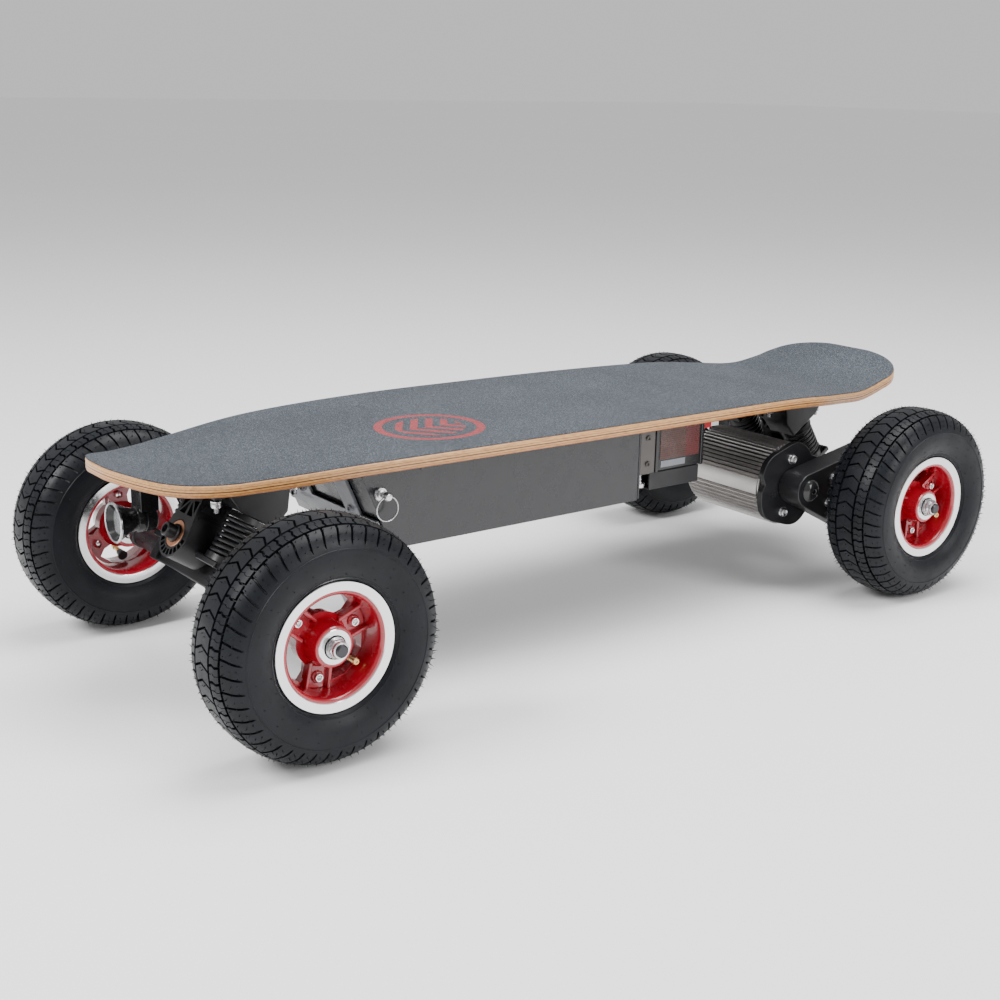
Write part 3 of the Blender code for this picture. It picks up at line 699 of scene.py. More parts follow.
def build_deck():
    top = 1.0
    low = top + PLY_THICK
    section = [
        (3.2, top), (0.9, top + 0.1), (0.25, top + 0.7), (0.0, top + 1.8), (0.0, top + 6.0),
        (0.0, low - 2.4), (0.35, low - 1.0), (1.2, low - 0.15), (3.4, low),
    ]
    deck = deck_layer("deck_ply", section, ply, PLY_THICK)
    deck.data.materials.append(underside)
    for face in deck.data.polygons:
        if face.normal.z < -0.85:
            face.material_index = 1
    stands_for(deck, "board", "maple_ply", "deck")
    sheet = deck_layer("grip_sheet", [(1.6, 0.0), (1.0, 0.25), (0.9, 0.75), (1.6, 0.95)], grit, 1.0)
    stands_for(sheet, "board", "grip_tape", "grip_tape")


# ---------------------------------------------------------------- wheels

PITCHES = 46
TREAD_DEPTH = 3.9
HAIR_FLOOR = -106.0
SPOKES = (20, 140, 260)
SCREW_RADIUS = 34.0
CARCASS = (
    (0.0, 113.7), (10.0, 113.4), (18.0, 112.4), (26.0, 109.8), (32.0, 106.0), (36.5, 100.6),
    (39.3, 94.0), (40.3, 86.0), (39.6, 77.0), (37.0, 69.4), (33.6, 63.8), (31.0, 61.2),
)

# (share of a pitch, depth of the sipe there), with None in the cross groove
STATIONS = (
    (0.0, 0), (0.2, 0), (0.40, 0), (0.415, 0.8), (0.435, 0.8),
    (0.45, 0), (0.65, 0), (0.84, 0), (0.87, None), (0.97, None),
)
# (distance from the crown, depth) down the sidewall, where a negative depth is a raised ring
SIDEWALL = (
    (49.5, 0.0), (49.9, -0.5), (50.7, -0.5), (51.1, 0.0), (56.0, 0.0), (61.0, 0.0), (67.0, 0.0),
    (72.0, 0.0), (77.5, 0.0), (77.9, -0.45), (78.5, -0.45), (78.9, 0.0), (83.0, 0.0),
)
# (distance from the crown, phase, hairs a pitch, shortest, longest)
HAIRS = (
    (2.0, 0.30, 1, 1.0, 2.8), (18.0, 1.25, 2, 1.0, 3.2), (29.0, 1.6, 2, 1.6, 4.6),
    (36.0, 1.86, 2, 2.4, 5.6), (42.0, 1.95, 2, 1.4, 4.2), (57.0, 0.3, 0.5, 0.7, 1.5),
    (65.0, 0.1, 0.5, 0.7, 1.5), (74.0, 0.4, 0.6, 0.7, 1.5),
)


def carcass_point(along):
    """(x, radius) and the outward normal at a distance in millimetres from the crown."""
    gone = 0.0
    for k, ((x0, r0), (x1, r1)) in enumerate(zip(CARCASS, CARCASS[1:])):
        step = hypot(x1 - x0, r1 - r0)
        if along <= gone + step or (x1, r1) == CARCASS[-1]:
            break
        gone += step
    slopes = []
    for index in (k, k + 1):
        before, after = CARCASS[max(index - 1, 0)], CARCASS[min(index + 1, len(CARCASS) - 1)]
        if index == 0:
            before = (-after[0], after[1])
        length = hypot(after[0] - before[0], after[1] - before[1])
        slopes.append(((after[0] - before[0]) / length, (after[1] - before[1]) / length))
    at = (along - gone) / step
    (sx0, sr0), (sx1, sr1) = slopes
    x = hermite(at, step, x0, sx0, x1, sx1)
    r = hermite(at, step, r0, sr0, r1, sr1)
    return x, r, -(sr0 * (1 - at) + sr1 * at), sx0 * (1 - at) + sx1 * at


def tread_rows():
    """(distance from the crown, phase, depth at the blocks, depth at the cross grooves) for one half."""
    d = TREAD_DEPTH
    rows = [(0.0, 0.0, 0.0, d), (5.6, 0.16, 0.0, d), (11.0, 0.32, 0.0, d), (11.5, 0.32, d, d)]
    rows += [(13.1, 0.86, d, d), (13.6, 0.86, 0.0, d), (17.0, 0.80, 0.0, d), (20.5, 0.92, 0.0, d)]
    rows += [(24.6, 0.86, 0.0, d), (25.1, 0.86, d, d), (26.5, 1.30, d, d), (27.0, 1.30, 0.0, d)]
    rows += [(31.0, 1.34, 0.0, d), (35.5, 1.44, 0.0, d), (39.5, 1.52, 0.0, d * 0.9)]
    rows += [(43.5, 1.58, 0.0, d * 0.5), (47.0, 1.60, 0.0, 0.0)]
    return rows + [(along, 1.6, depth, depth) for along, depth in SIDEWALL]


def add_hair(shape, foot, direction, length, radius):
    """A thin moulding hair: a bent three-sided spike."""
    direction = direction.normalized()
    side = direction.orthogonal().normalized()
    other = direction.cross(side)
    ring = [
        shape.verts.new((foot + (side * cos(a) + other * sin(a)) * radius) * MM)
        for a in (0.0, 2.09, 4.19)
    ]
    tip = shape.verts.new((foot + direction * length) * MM)
    for i in range(3):
        shape.faces.new((ring[i], ring[(i + 1) % 3], tip))


def on_wheel(x, radius, angle):
    return Vector((x, radius * cos(angle), radius * sin(angle))) * MM


def tread_rings(shape):
    """Rings of vertices from one bead over the tread to the other, and back under it."""
    half = tread_rows()
    rings = []
    rows = [(-1, row) for row in half[:0:-1]] + [(1, row) for row in half]
    for side, (along, phase, block, groove) in rows:
        x, r, nx, nr = carcass_point(along)
        siped = 13 < along < 25 and block == 0
        ring = []
        for k in range(PITCHES):
            for share, sipe in STATIONS:
                depth = groove if sipe is None else block + (sipe if siped else 0)
                angle = 2 * pi * (k + share + phase) / PITCHES
                ring.append(shape.verts.new(on_wheel(side * (x - nx * depth), r - nr * depth, angle)))
        rings.append(ring)
    count = len(rings[0])
    for x, r in ((30.3, 61.0), (30.3, 53.0), (-30.3, 53.0), (-30.3, 61.0)):
        turns = [2 * pi * (i / count + 1.6 / PITCHES) for i in range(count)]
        rings.append([shape.verts.new(on_wheel(x, r, angle)) for angle in turns])
    return rings


def add_hairs(shape):
    """The moulding hairs, left out near the ground so that the tyre stands on its tread."""
    random = np.random.default_rng(7)
    for side in (-1, 1):
        for along, phase, per_pitch, low, high in HAIRS:
            x, r, nx, nr = carcass_point(along)
            total = int(PITCHES * per_pitch)
            for k in range(total):
                angle = 2 * pi * (k / total + phase / PITCHES + random.normal() * 0.0012)
                radial = Vector((0, cos(angle), sin(angle)))
                foot = Vector((side * x, 0, 0)) + radial * (r - 0.2)
                lean = Vector(random.normal(size=3)) * 0.3
                length = random.uniform(low, high)
                if foot.z > HAIR_FLOOR:
                    add_hair(shape, foot, Vector((side * nx, 0, 0)) + radial * nr + lean, length, 0.62)


def tyre_object():
    """A block-tread tyre about the X axis: zigzag centre ribs, two block rows and shoulder lugs a side."""
    shape = bmesh.new()
    rings = tread_rings(shape)
    stitch(shape, rings + rings[:1])
    add_hairs(shape)
    return add("tyre", shape, tyre_rubber, 32.0)


def window_outline():
    """The gap between two spokes, in (y, z) about the hub, centred on +Y."""
    corners = [
        (23.5, -30), (33, -41), (42.0, -39), (44.6, -18), (44.8, 0),
        (44.6, 18), (42.0, 39), (33, 41), (23.5, 30), (22.6, 0),
    ]
    return [(r * cos(radians(a)), r * sin(radians(a))) for r, a in corners]


def spoke_parts(turn):
    """One spoke's pad, its two ribs and the boss of its screw."""
    outline = [(18.0, -12.5), (44.5, -13.5), (45.3, 0), (44.5, 13.5), (18.0, 12.5)]
    parts = [rounded(prism("pad", outline, 2.0, 7.6, red_enamel), 1.4, 3)]
    for side in (-1, 1):
        outline = [(19.0, side * 8.5), (44.8, side * 9.5), (44.6, side * 13.4), (19.0, side * 12.4)]
        parts.append(rounded(prism("rib", outline, 5.0, 12.5, red_enamel), 1.5, 4))
    boss = turned("boss", [(2.0, 0), (2.0, 6.2), (8.6, 5.8), (9.4, 4.8), (9.4, 0)], red_enamel, 32)
    parts.append(moved(boss, 0, SCREW_RADIUS, 0))
    return [spun(part, turn) for part in parts]


def rim_object():
    """The red part of the rim: barrel, spoke web with three windows, ribs, bosses and hub."""
    barrel = turned("rim", [
        (30.6, 52.2), (30.9, 51.2), (30.6, 49.4), (29.4, 48.0), (27.6, 47.3), (24.0, 46.9), (12.0, 45.4),
        (6.0, 45.0), (-2.0, 45.0), (-14.0, 45.6), (-26.0, 47.0), (-29.4, 48.2), (-30.6, 50.0), (-30.6, 52.2),
    ], red_enamel, 96)
    web = disc("web", -3.0, 6.0, 45.6, red_enamel, 96, hole=21.0)
    for turn in SPOKES:
        cut(web, spun(prism("window", window_outline(), -20, 30, red_enamel), turn + 60))
    rounded(web, 1.3, 3, 50.0)
    spokes = [part for turn in SPOKES for part in spoke_parts(turn)]
    hub = turned("hub", [
        (-29.0, 16.4), (-29.0, 19.4), (-27.4, 20.6), (-8.0, 21.4), (-4.5, 25.5), (6.5, 26.0),
        (9.0, 22.6), (12.0, 21.2), (27.0, 19.6), (28.6, 19.0), (29.3, 17.8), (29.3, 16.4),
    ], red_enamel, 72)
    return joined(barrel, web, hub, *spokes)


def lip_object():
    """The two polished lips of the split rim, outside and inside."""
    profile = [
        (30.9, 51.3), (31.6, 52.0), (32.4, 58.6), (32.3, 60.2), (31.5, 60.9), (30.7, 60.4), (30.5, 53.2),
    ]
    outer = turned("lip", profile, lip_metal, 128)
    inner = turned("lip_inner", [(-x, r) for x, r in profile], lip_metal, 128)
    return joined(outer, inner)


def hardware_object():
    """The rim's screws and the faces of the hub's bearings."""
    parts = [
        turned("hub_hardware", [
            (29.2, 10.8), (30.1, 11.2), (30.1, 15.9), (29.5, 16.4), (28.6, 16.4), (28.6, 10.8),
        ], lip_metal, 56),
        disc("back", -29.3, -28.0, 16.2, steel, 48, hole=10.8),
    ]
    for turn in SPOKES:
        parts.append(spun(moved(socket_screw("screw", 4.2, 3.6, steel), 9.3, SCREW_RADIUS, 0), turn))
        parts.append(spun(moved(hex_head("nut", 8.0, -7.0, -3.0, steel), 0, SCREW_RADIUS, 0), turn))
    return joined(*parts)


def seal_object():
    """The dark seal between each bearing's rings."""
    front = [(28.2, 6.4), (29.0, 6.6), (29.0, 11.0), (28.2, 11.0)]
    return joined(
        turned("bearing_seal", front, cable_black, 40),
        disc("seal_back", -29.0, -28.0, 11.0, cable_black, 40, hole=6.4),
    )


def valve_objects():
    """The tyre valve, leaning out of the barrel between two spokes: rubber foot and brass stem."""
    foot = turned("valve_foot", [
        (0, 0), (0, 5.4), (3, 5.2), (5, 4.0), (9, 3.8), (10, 3.2), (10, 0),
    ], cable_black, 28)
    stem = turned("valve_stem", [
        (9, 0), (9, 3.1), (12, 3.1), (12.4, 2.7), (19, 2.7), (19.4, 3.3),
        (24.6, 3.3), (25.4, 2.6), (25.4, 1.4), (24.2, 1.4), (24.2, 0),
    ], brass, 24, "X", 25.0)
    return [spun(moved(spun(piece, -14, "Z"), 0, 38.5, 0), -40) for piece in (foot, stem)]


RIM_TURN = {"front_left": 0.0, "front_right": 53.0, "rear_left": 10.0, "rear_right": 0.0}


def build_wheels():
    pattern = [
        (tyre_object(), "tyre_rubber", "tyre"), (rim_object(), "rim_red", "rim"),
        (lip_object(), "rim_red", None), (hardware_object(), "zinc_steel", "bearing"),
        (seal_object(), "cable_rubber", None),
    ]
    foot, stem = valve_objects()
    pattern += [(foot, "cable_rubber", None), (stem, "zinc_steel", None)]
    for corner in CORNERS:
        centre = Vector(joints[f"{corner}_spin"]["pos_m"])
        flip = 0.0 if centre.x > 0 else 180.0
        for piece, slot, node in pattern:
            copy = linked(bpy.data.objects.new(f"{piece.name}_{corner}", piece.data))
            turn = 0.0 if node == "tyre" else RIM_TURN[corner]
            copy.matrix_world = (
                Matrix.Translation(centre)
                @ Matrix.Rotation(radians(turn), 4, "X")
                @ Matrix.Rotation(radians(flip), 4, "Z")
            )
            replaced = [f"{node}_{corner}"] if node else []
            stands_for(copy, f"wheel_{corner}", slot, *replaced)
    for piece, _, _ in pattern:
        bpy.data.objects.remove(piece, do_unlink=True)


# ---------------------------------------------------------------- trucks

TILT = radians(33.0)
LINK_DEPTH = 34.0
KINGPIN_BORE = 6.4
SPRING_X = 47.0
SPRING_Y = 36.0
HANGER_SEAT_Z = 1.2
BASE_SEAT_Z = 39.5
WIRE = 2.4
COIL_RADIUS = 17.2
COIL_TURNS = 7.5
COIL_STEPS = 26
# (y, z) round each truck's base plate, and round the wedges that hold its springs
BASE_OUTLINES = {
    "front": (
        [(-437, 218.1), (-337, 224.4), (-337, 213), (-437, 206)],
        [(-413, 193.4), (-376, 169.4), (-361, 186), (-357, 216), (-425, 212)],
    ),
    "rear": (
        [(420, 214.7), (320, 222.4), (320, 211), (420, 203)],
        [(396, 193.4), (359, 169.4), (344, 186), (340, 214), (408, 209)],
    ),
}


def truck_matrix(label):
    """The frame on a truck's pivot: its Y runs back down the kingpin, its Z away from the ground."""
    pivot = Vector(joints[f"{label}_lean"]["pos_m"])
    turn = 0.0 if label == "front" else pi
    return Matrix.Translation(pivot) @ Matrix.Rotation(turn, 4, "Z") @ Matrix.Rotation(-TILT, 4, "X")


def link_tools():
    """Cutters for the link: triangular pockets in its legs, a fan of pockets in its ring, and its bore."""
    tools = []
    for low, high in ((-5, 12), (22, LINK_DEPTH + 5)):
        for side in (-1, 1):
            for triangle in (
                ((2.2, 21), (13.5, 21), (2.2, 35)), ((4.5, 36.5), (14, 24), (14, 38)),
                ((2.2, 42), (13.5, 42), (2.2, 55)), ((4.5, 57), (14, 45), (14, 58)),
            ):
                outline = [(side * u, v) for u, v in triangle]
                tools.append(prism("pocket", outline, low, high, black_plastic, "Y"))
    for k in range(10):
        start = radians(193 + 154 * k / 9) - 0.105
        outer, inner = (circle(radius, 5, (0, 0), start, 0.21) for radius in (22.8, 16.6))
        tools.append(prism("pocket", outer + inner[::-1], -5, 10, black_plastic, "Y"))
    profile = [(-9, 0), (-9, 14.6), (2.5, 14.6), (2.5, 12.7), (LINK_DEPTH + 9, 12.7), (LINK_DEPTH + 9, 0)]
    return tools + [turned("bore", profile, black_plastic, 48, "Y")]


def link_object(label):
    """The moulded link that holds the kingpin: a ring, side cheeks and a lattice of ribs."""
    arc = circle(25.0, 40, (0, 0), radians(184), radians(172))
    legs = [(17, 30), (17, 62), (-17, 62), (-17, 30)]
    link = prism("truck_link", arc + legs, 0, LINK_DEPTH, black_plastic, "Y")
    cut(link, *link_tools())
    for side in (-1, 1):
        for low in (6, 18, 30, 42):
            tooth = side_box("tooth", side, (16, 19.5), (4, 30), (low, low + 6), black_plastic)
            boolean(link, "UNION", tooth)
    rounded(link, 0.7, 2)
    link.data.transform(truck_matrix(label))
    return link


def seat_pair(profile):
    """The turned seats that hold one end of each spring, right then left."""
    return [
        moved(turned("seat", profile, casting, 48, "Z"), side * SPRING_X, SPRING_Y, 0)
        for side in (-1, 1)
    ]


def build_truck_base(label):
    """The base plate with its spring wedges, and the link under it."""
    plate, wedge = BASE_OUTLINES[label]
    pieces = [rounded(prism("plate", plate, -60, 60, casting), 1.6, 3)]
    seats = seat_pair([
        (46.2, 0), (46.2, 19.6), (40.5, 20.6), (39.5, 19.6), (39.5, 15.0), (45, 14.0), (45, 0),
    ])
    for side, seat in zip((-1, 1), seats):
        low, high = sorted((side * 26, side * 66))
        pieces.append(rounded(prism("wedge", wedge, low, high, casting), 2.0, 3))
        seat.data.transform(truck_matrix(label))
        pieces.append(seat)
    base = joined(link_object(label), *pieces, name=f"truck_base_{label}_detail")
    base.data.materials.clear()
    base.data.materials.append(black_plastic)
    stands_for(base, "board", "black_plastic", f"truck_base_{label}")


def build_kingpin(label):
    """The kingpin with its nut, and the copper-faced bush round it."""
    bush = turned(f"bush_{label}_ring", [
        (0.6, 6.4), (0.6, 9.4), (-0.2, 9.8), (-0.2, 13.6), (0.6, 14.2),
        (2.2, 14.2), (2.2, 12.4), (30, 12.4), (30, 6.4),
    ], copper, 56, "Y")
    bush.matrix_world = truck_matrix(label)
    stands_for(bush, "board", "bush_copper", f"pivot_bush_{label}")
    pin = turned(f"kingpin_{label}_detail", [
        (-13, 4.4), (-13.0, 6.2), (-12.2, 7.2), (-3, 7.4), (-2.2, 9.2), (-0.4, 9.2),
        (-0.2, 6.1), (58.2, 6.1), (58.2, 0), (-3, 0), (-3, 3.4), (-11, 4.0),
    ], casting, 48, "Y")
    joined(pin, hex_head("nut", 14.4, 58.2, 66.0, casting, "Y"))
    pin.matrix_world = truck_matrix(label)
    stands_for(pin, "board", "zinc_steel", f"kingpin_{label}")


def axle_in_frame():
    c, s = cos(TILT), sin(TILT)
    return 33.0 * c + 48.0 * s, 33.0 * s - 48.0 * c


def sleeve_object(side, start, end, radius):
    """One collar of the tube round the axle."""
    low, high = sorted((side * start, side * end))
    return turned("sleeve", [
        (low, 6.2), (low, radius - 0.8), (low + 0.8, radius),
        (high - 0.8, radius), (high, radius - 0.8), (high, 6.2),
    ], casting, 40)


def build_hanger(label):
    """The cast hanger: beam, end blocks, axle sleeves, spring wings and the collar on the kingpin."""
    axle_y, axle_z = axle_in_frame()
    beam = rounded(box("hanger", (-92, 41, -35), (92, 67, -9), casting), 2.2, 3)
    web = rounded(prism("web", [(-26, -12), (26, -12), (18, 14), (-18, 14)], 42, 56, casting, "Y"), 1.5, 2)
    collar = turned("collar", [(34.8, 0), (34.8, 15), (35.6, 16), (58, 16), (58, 0)], casting, 48, "Y")
    pieces = [bored(piece, KINGPIN_BORE, 30, 70, "Y") for piece in (web, collar)]
    seats = seat_pair([(-6.0, 0), (-6.0, 20.4), (0.5, 20.2), (1.2, 19.4), (1.2, 15.5), (-3, 14.6), (-3, 0)])
    for side, seat in zip((-1, 1), seats):
        wing = side_box("wing", side, (27, 67), (15, 57), (-12, -5.8), casting)
        block = side_box("end_block", side, (80, 92.5), (37, 62), (-36, -8), casting)
        pieces += [rounded(wing, 1.2, 2), rounded(block, 1.4, 2), seat]
        for sizes in ((90, 160, 11.0), (90, 104, 13.5), (152, 161, 12.4)):
            pieces.append(moved(sleeve_object(side, *sizes), 0, axle_y, axle_z))
    hanger = joined(beam, *pieces, name=f"hanger_{label}_detail")
    hanger.matrix_world = truck_matrix(label)
    stands_for(hanger, f"{label}_truck", "black_steel", f"hanger_{label}")


def build_axle(label):
    """The axle: black rod, zinc lock nuts and washers, and bare black ends."""
    _, y, z = joints[f"{label}_left_spin"]["pos_m"]
    place = Matrix.Translation((0, y, z))
    rod = turned(f"axle_{label}_rod", [
        (-258, 0), (-258, 4.6), (-257, 5.9), (257, 5.9), (258, 4.6), (258, 0),
    ], dark_steel, 36)
    rod.matrix_world = place
    stands_for(rod, f"{label}_truck", "axle_steel", f"axle_{label}")
    fittings = []
    for side in (-1, 1):
        pieces = (
            hex_head("nut", 17.0, 245.4, 252.0, steel),
            turned("cone", [(251.6, 6.0), (251.6, 8.2), (254.4, 7.4), (254.8, 6.0)], steel, 36),
            disc("washer", 244.9, 245.6, 9.9, steel, 36, hole=6.0),
            disc("spacer", 161.3, 184.0, 9.0, steel, 36, hole=6.0),
        )
        fittings += [faced(piece, side) for piece in pieces]
    nuts = joined(*fittings, name=f"axle_{label}_nuts")
    nuts.matrix_world = place
    stands_for(nuts, f"{label}_truck", "axle_steel")


def coil_points(side):
    """The middle of a spring's wire, flat for three quarters of a turn at each end."""
    low, high = HANGER_SEAT_Z + WIRE + 0.1, BASE_SEAT_Z - WIRE - 0.1
    total = int(COIL_TURNS * COIL_STEPS)
    points = []
    for k in range(total + 1):
        angle = 2 * pi * k / COIL_STEPS
        rise = min(max((k - COIL_STEPS * 0.75) / (total - COIL_STEPS * 1.5), 0.0), 1.0)
        centre = Vector((side * SPRING_X, SPRING_Y, low + (high - low) * rise))
        points.append(centre + Vector((cos(angle), sin(angle), 0)) * COIL_RADIUS)
    return points


def build_springs(label):
    """Coil springs between the board and the truck, each with a preload knob."""
    place = truck_matrix(label)
    for side in (-1, 1):
        name = "left" if (side > 0) == (label == "front") else "right"
        spring = tube(f"coil_{label}_{name}", coil_points(side), WIRE, spring_paint, 10)
        guide = turned(f"spring_guide_{label}_{name}", [
            (-2.8, 0), (-2.8, 8.5), (40, 8.5), (41, 12.0), (44.8, 12.0), (44.8, 0),
        ], cable_black, 28, "Z")
        moved(guide, side * SPRING_X, SPRING_Y, 0)
        for piece, slot in ((spring, "spring_steel"), (guide, "black_plastic")):
            piece.data.transform(place)
            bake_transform(piece)
        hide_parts(f"spring_{label}_{name}")


def build_deck_bolts():
    """Bolts under the truck plates: washer, flanged nut and threaded end."""
    for node in [f"deck_bolt_{label}_{k}" for label in ("front", "rear") for k in range(1, 5)]:
        low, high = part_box(node)
        centre = (low + high) / 2
        top = high.z / MM
        profile = [(top - 13, 0), (top - 12.6, 2.4)]
        for turn in range(6):
            z = top - 12.4 + turn * 0.85
            profile += [(z, 2.9), (z + 0.42, 2.4)]
        profile += [(top - 7.2, 2.6), (top - 7.2, 0)]
        bolt = joined(
            hex_head("nut", 10.0, top - 7.0, top - 1.2, steel, "Z"),
            turned("thread", profile, steel, 20, "Z"),
            disc("washer", top - 1.3, top - 0.2, 6.0, steel, 28, "Z"),
            name=f"{node.replace('deck_', '')}_detail",
        )
        moved(bolt, centre.x / MM, centre.y / MM, 0)
        stands_for(bolt, "board", "zinc_steel", node)


# ---------------------------------------------------------------- power pack and controller

CASE_HALF = 95.0
CASE_SIDE = ((-299.0, 225.0), (-259.0, 137.0), (71.0, 137.0), (71.0, 225.0))
PIN_Y = -274.0
PIN_Z = 197.0


def build_case():
    """The folded tray: sheet with rolled corners, a rear flange and rivets."""
    case = prism("case_tray", CASE_SIDE, -CASE_HALF, CASE_HALF, sheet_black)
    shifts = ((3, 5), (2, 2.5), (-2.5, 2.5), (-2.5, 5))
    inner = [(y + dy, z + dz) for (y, z), (dy, dz) in zip(CASE_SIDE, shifts)]
    cut(case, prism("hollow", inner, 2.5 - CASE_HALF, CASE_HALF - 2.5, sheet_black))
    cut(case, box("switch_hole", (-CASE_HALF - 5, 34, 190), (5 - CASE_HALF, 56, 206), sheet_black))
    bored(case, 8.3, -102, -88, "X", (0, 10, 198))
    bored(case, 3.6, 88, 102, "X", (0, PIN_Y, PIN_Z), 32)
    rounded(case, 1.5, 3)
    flanges, rivets = [], []
    for side in (-1, 1):
        flange = side_box("flange", side, (87, 95.4), (70.6, 73.2), (139, 224), sheet_black)
        flanges.append(rounded(flange, 0.8, 2))
        for y in (-225, -120, -15):
            profile = [(94.8, 0), (94.8, 2.6), (95.6, 2.2), (96.1, 1.2), (96.2, 0)]
            rivets.append(moved(faced(turned("rivet", profile, sheet_black, 20), side), 0, y, 217))
    stands_for(joined(case, *flanges), "board", "black_steel", "battery_case")
    stands_for(joined(*rivets, name="case_rivets"), "board", "black_steel")


def strap_y(z, out):
    """Where a surface lies this far out from the case's sloped front."""
    return CASE_SIDE[0][0] + (225.0 - z) * 40.0 / 88.0 - out


def strip(z_low, z_high, x_low, x_high):
    """A flat length of the strap on that slope."""
    corners = ((z_low, 0.6), (z_high, 0.6), (z_high, 4.4), (z_low, 4.4))
    side = [(strap_y(z, out), z) for z, out in corners]
    return rounded(prism("strap", side, x_low, x_high, grey_coat), 0.9, 3)


def build_strap():
    """The folded strap across the case's sloped front and its two prongs up to the deck."""
    pieces = [strip(160, 222, *sorted((side * 34, side * 62))) for side in (-1, 1)]
    for side in (-1, 1):
        for z in (172, 214):
            screw = spun(socket_screw("screw", 4.0, 3.0, grey_coat, "Y"), 180, "Z")
            pieces.append(moved(screw, side * 48, strap_y(z, 4.2), z))
    strap = joined(strip(150, 168, -92, 92), *pieces, name="case_strap")
    stands_for(strap, "board", "grey_steel", "case_front_bracket")


def build_latch():
    """The spring-loaded pin in the case's side and the split ring that pulls it."""
    collar = turned("latch_collar", [
        (95.2, 3.8), (95.2, 7.4), (96.2, 7.4), (97.2, 6.4), (97.2, 3.8),
    ], steel, 32)
    stands_for(moved(collar, 0, PIN_Y, PIN_Z), "board", "zinc_steel")
    pin = turned("latch_pin_detail", [
        (83, 0), (83, 2.2), (84, 3.0), (97.4, 3.0), (97.6, 4.6), (99.4, 4.6), (99.8, 3.3),
        (104, 3.5), (105.4, 4.4), (110, 4.4), (111.5, 3.4), (112, 2.0), (112, 0),
    ], steel, 36)
    bored(pin, 2.2, -9, 9, "Y", (108, 0, 0), 24)
    stands_for(moved(pin, 0, PIN_Y, PIN_Z), "latch_pin", "zinc_steel", "release_pin")
    loops = []
    for k in range(97):
        angle = 2 * pi * 1.9 * k / 96 + 0.4
        shift = -0.55 + 1.1 * k / 96
        loops.append((108 + shift, PIN_Y + 12.5 * sin(angle), PIN_Z - 12.5 + 12.5 * cos(angle)))
    ring = tube("split_ring", loops, 0.62, steel, 10)
    stands_for(ring, "latch_ring", "zinc_steel", "pull_ring")


def build_inlet():
    """The rocker switch in its bezel and the capped charging socket, on the case's right side."""
    side = [(-97.5, 36), (-96, 45), (-97.5, 54), (-90.5, 52), (-90.5, 38)]
    rocker = rounded(prism("rocker_key", side, 191.5, 204.5, red_plastic, "Z"), 0.6, 3)
    stands_for(rocker, "rocker", "switch_red", "power_switch")
    bezel = box("switch_bezel", (-96.6, 31, 187), (-95.1, 59, 209), black_plastic)
    cut(bezel, box("gap", (-99, 34.4, 190.4), (-93, 55.6, 205.6), black_plastic))
    stands_for(rounded(bezel, 0.5, 2), "board", "black_plastic")
    port = turned("charge_socket", [
        (-99, 7.6), (-98.4, 8.6), (-99, 9.4), (-98.6, 10.5), (-95.6, 10.5), (-95.6, 7.9),
        (-88, 7.9), (-88, 0), (-94, 0), (-94, 7.0), (-98, 7.4),
    ], black_plastic, 48)
    stands_for(moved(port, 0, 10, 198), "board", "black_plastic", "charge_port")


def build_labels(side, name):
    """The rating label, the bare strip under it and the screwed joining plate, on one side."""
    for piece, x, y, z, material, slot in (
        ("rating_label", (95.15, 95.6), (102.5, 163.5), (180, 221), label_print, "black_plastic"),
        ("label_foot", (95.15, 95.7), (104, 142), (171, 178.5), grey_coat, "grey_steel"),
    ):
        label = rounded(side_box(f"{piece}_{name}", side, x, y, z, material), 0.15, 1)
        stands_for(label, "board", slot)
    plate = side_box(f"joining_plate_{name}", side, (93.4, 94.6), (73.6, 95.2), (166, 224), plate_coat)
    heads = [
        moved(faced(socket_screw("head", 3.2, 2.2, plate_coat), side), side * 94.5, 84, z)
        for z in (178, 208)
    ]
    stands_for(joined(rounded(plate, 0.3, 2), *heads), "board", "grey_steel")


def build_rail(side, name):
    """The folded rail that carries one side of the controller."""
    x = (69, 95)
    rail = side_box(f"rail_{name}_detail", side, x, (88, 165), (146.5, 166.7), black_plastic)
    cut(rail, side_box("channel", side, (x[0] + 2.5, x[1] - 2.5), (80, 180), (149, 164.2), black_plastic))
    stands_for(rounded(rail, 0.8, 2), "board", "black_steel", f"rail_{name}")


def build_rod(side, name):
    """A threaded rod that hangs the controller from the deck."""
    profile = [(150, 0), (150, 6.6), (151, 7), (154.4, 7), (155, 6.4), (155, 4.2)]
    for turn in range(20):
        z = 156 + turn * 1.2
        profile += [(z, 3.9), (z + 0.6, 3.3)]
    profile += [(182, 3.6), (221, 3.6), (221, 6.6), (222, 7), (227, 7), (228, 6.4), (228, 0)]
    rod = moved(turned(f"hanger_rod_{name}_detail", profile, steel, 28, "Z"), side * 86, 80, 0)
    stands_for(rod, "board", "zinc_steel", f"hanger_rod_{name}")


def build_controller():
    """The speed controller: a moulded box with a glossy label, on folded rails, and two hanger rods."""
    housing = box("controller_shell", (-95, 96, 167), (95, 170, 226), gloss_black)
    cut(housing, box("hollow", (-91, 100, 170), (91, 166, 240), gloss_black))
    rounded(housing, 1.6, 3)
    posts = [
        rounded(side_box("post", side, (89, 96.4), (y, y + 4.6), (166.4, 224), gloss_black), 1.0, 2)
        for side in (-1, 1) for y in (95.6, 166.0)
    ]
    stands_for(joined(housing, *posts), "board", "black_plastic", "controller_housing")
    for build in (build_labels, build_rail, build_rod):
        for side, name in ((1, "left"), (-1, "right")):
            build(side, name)


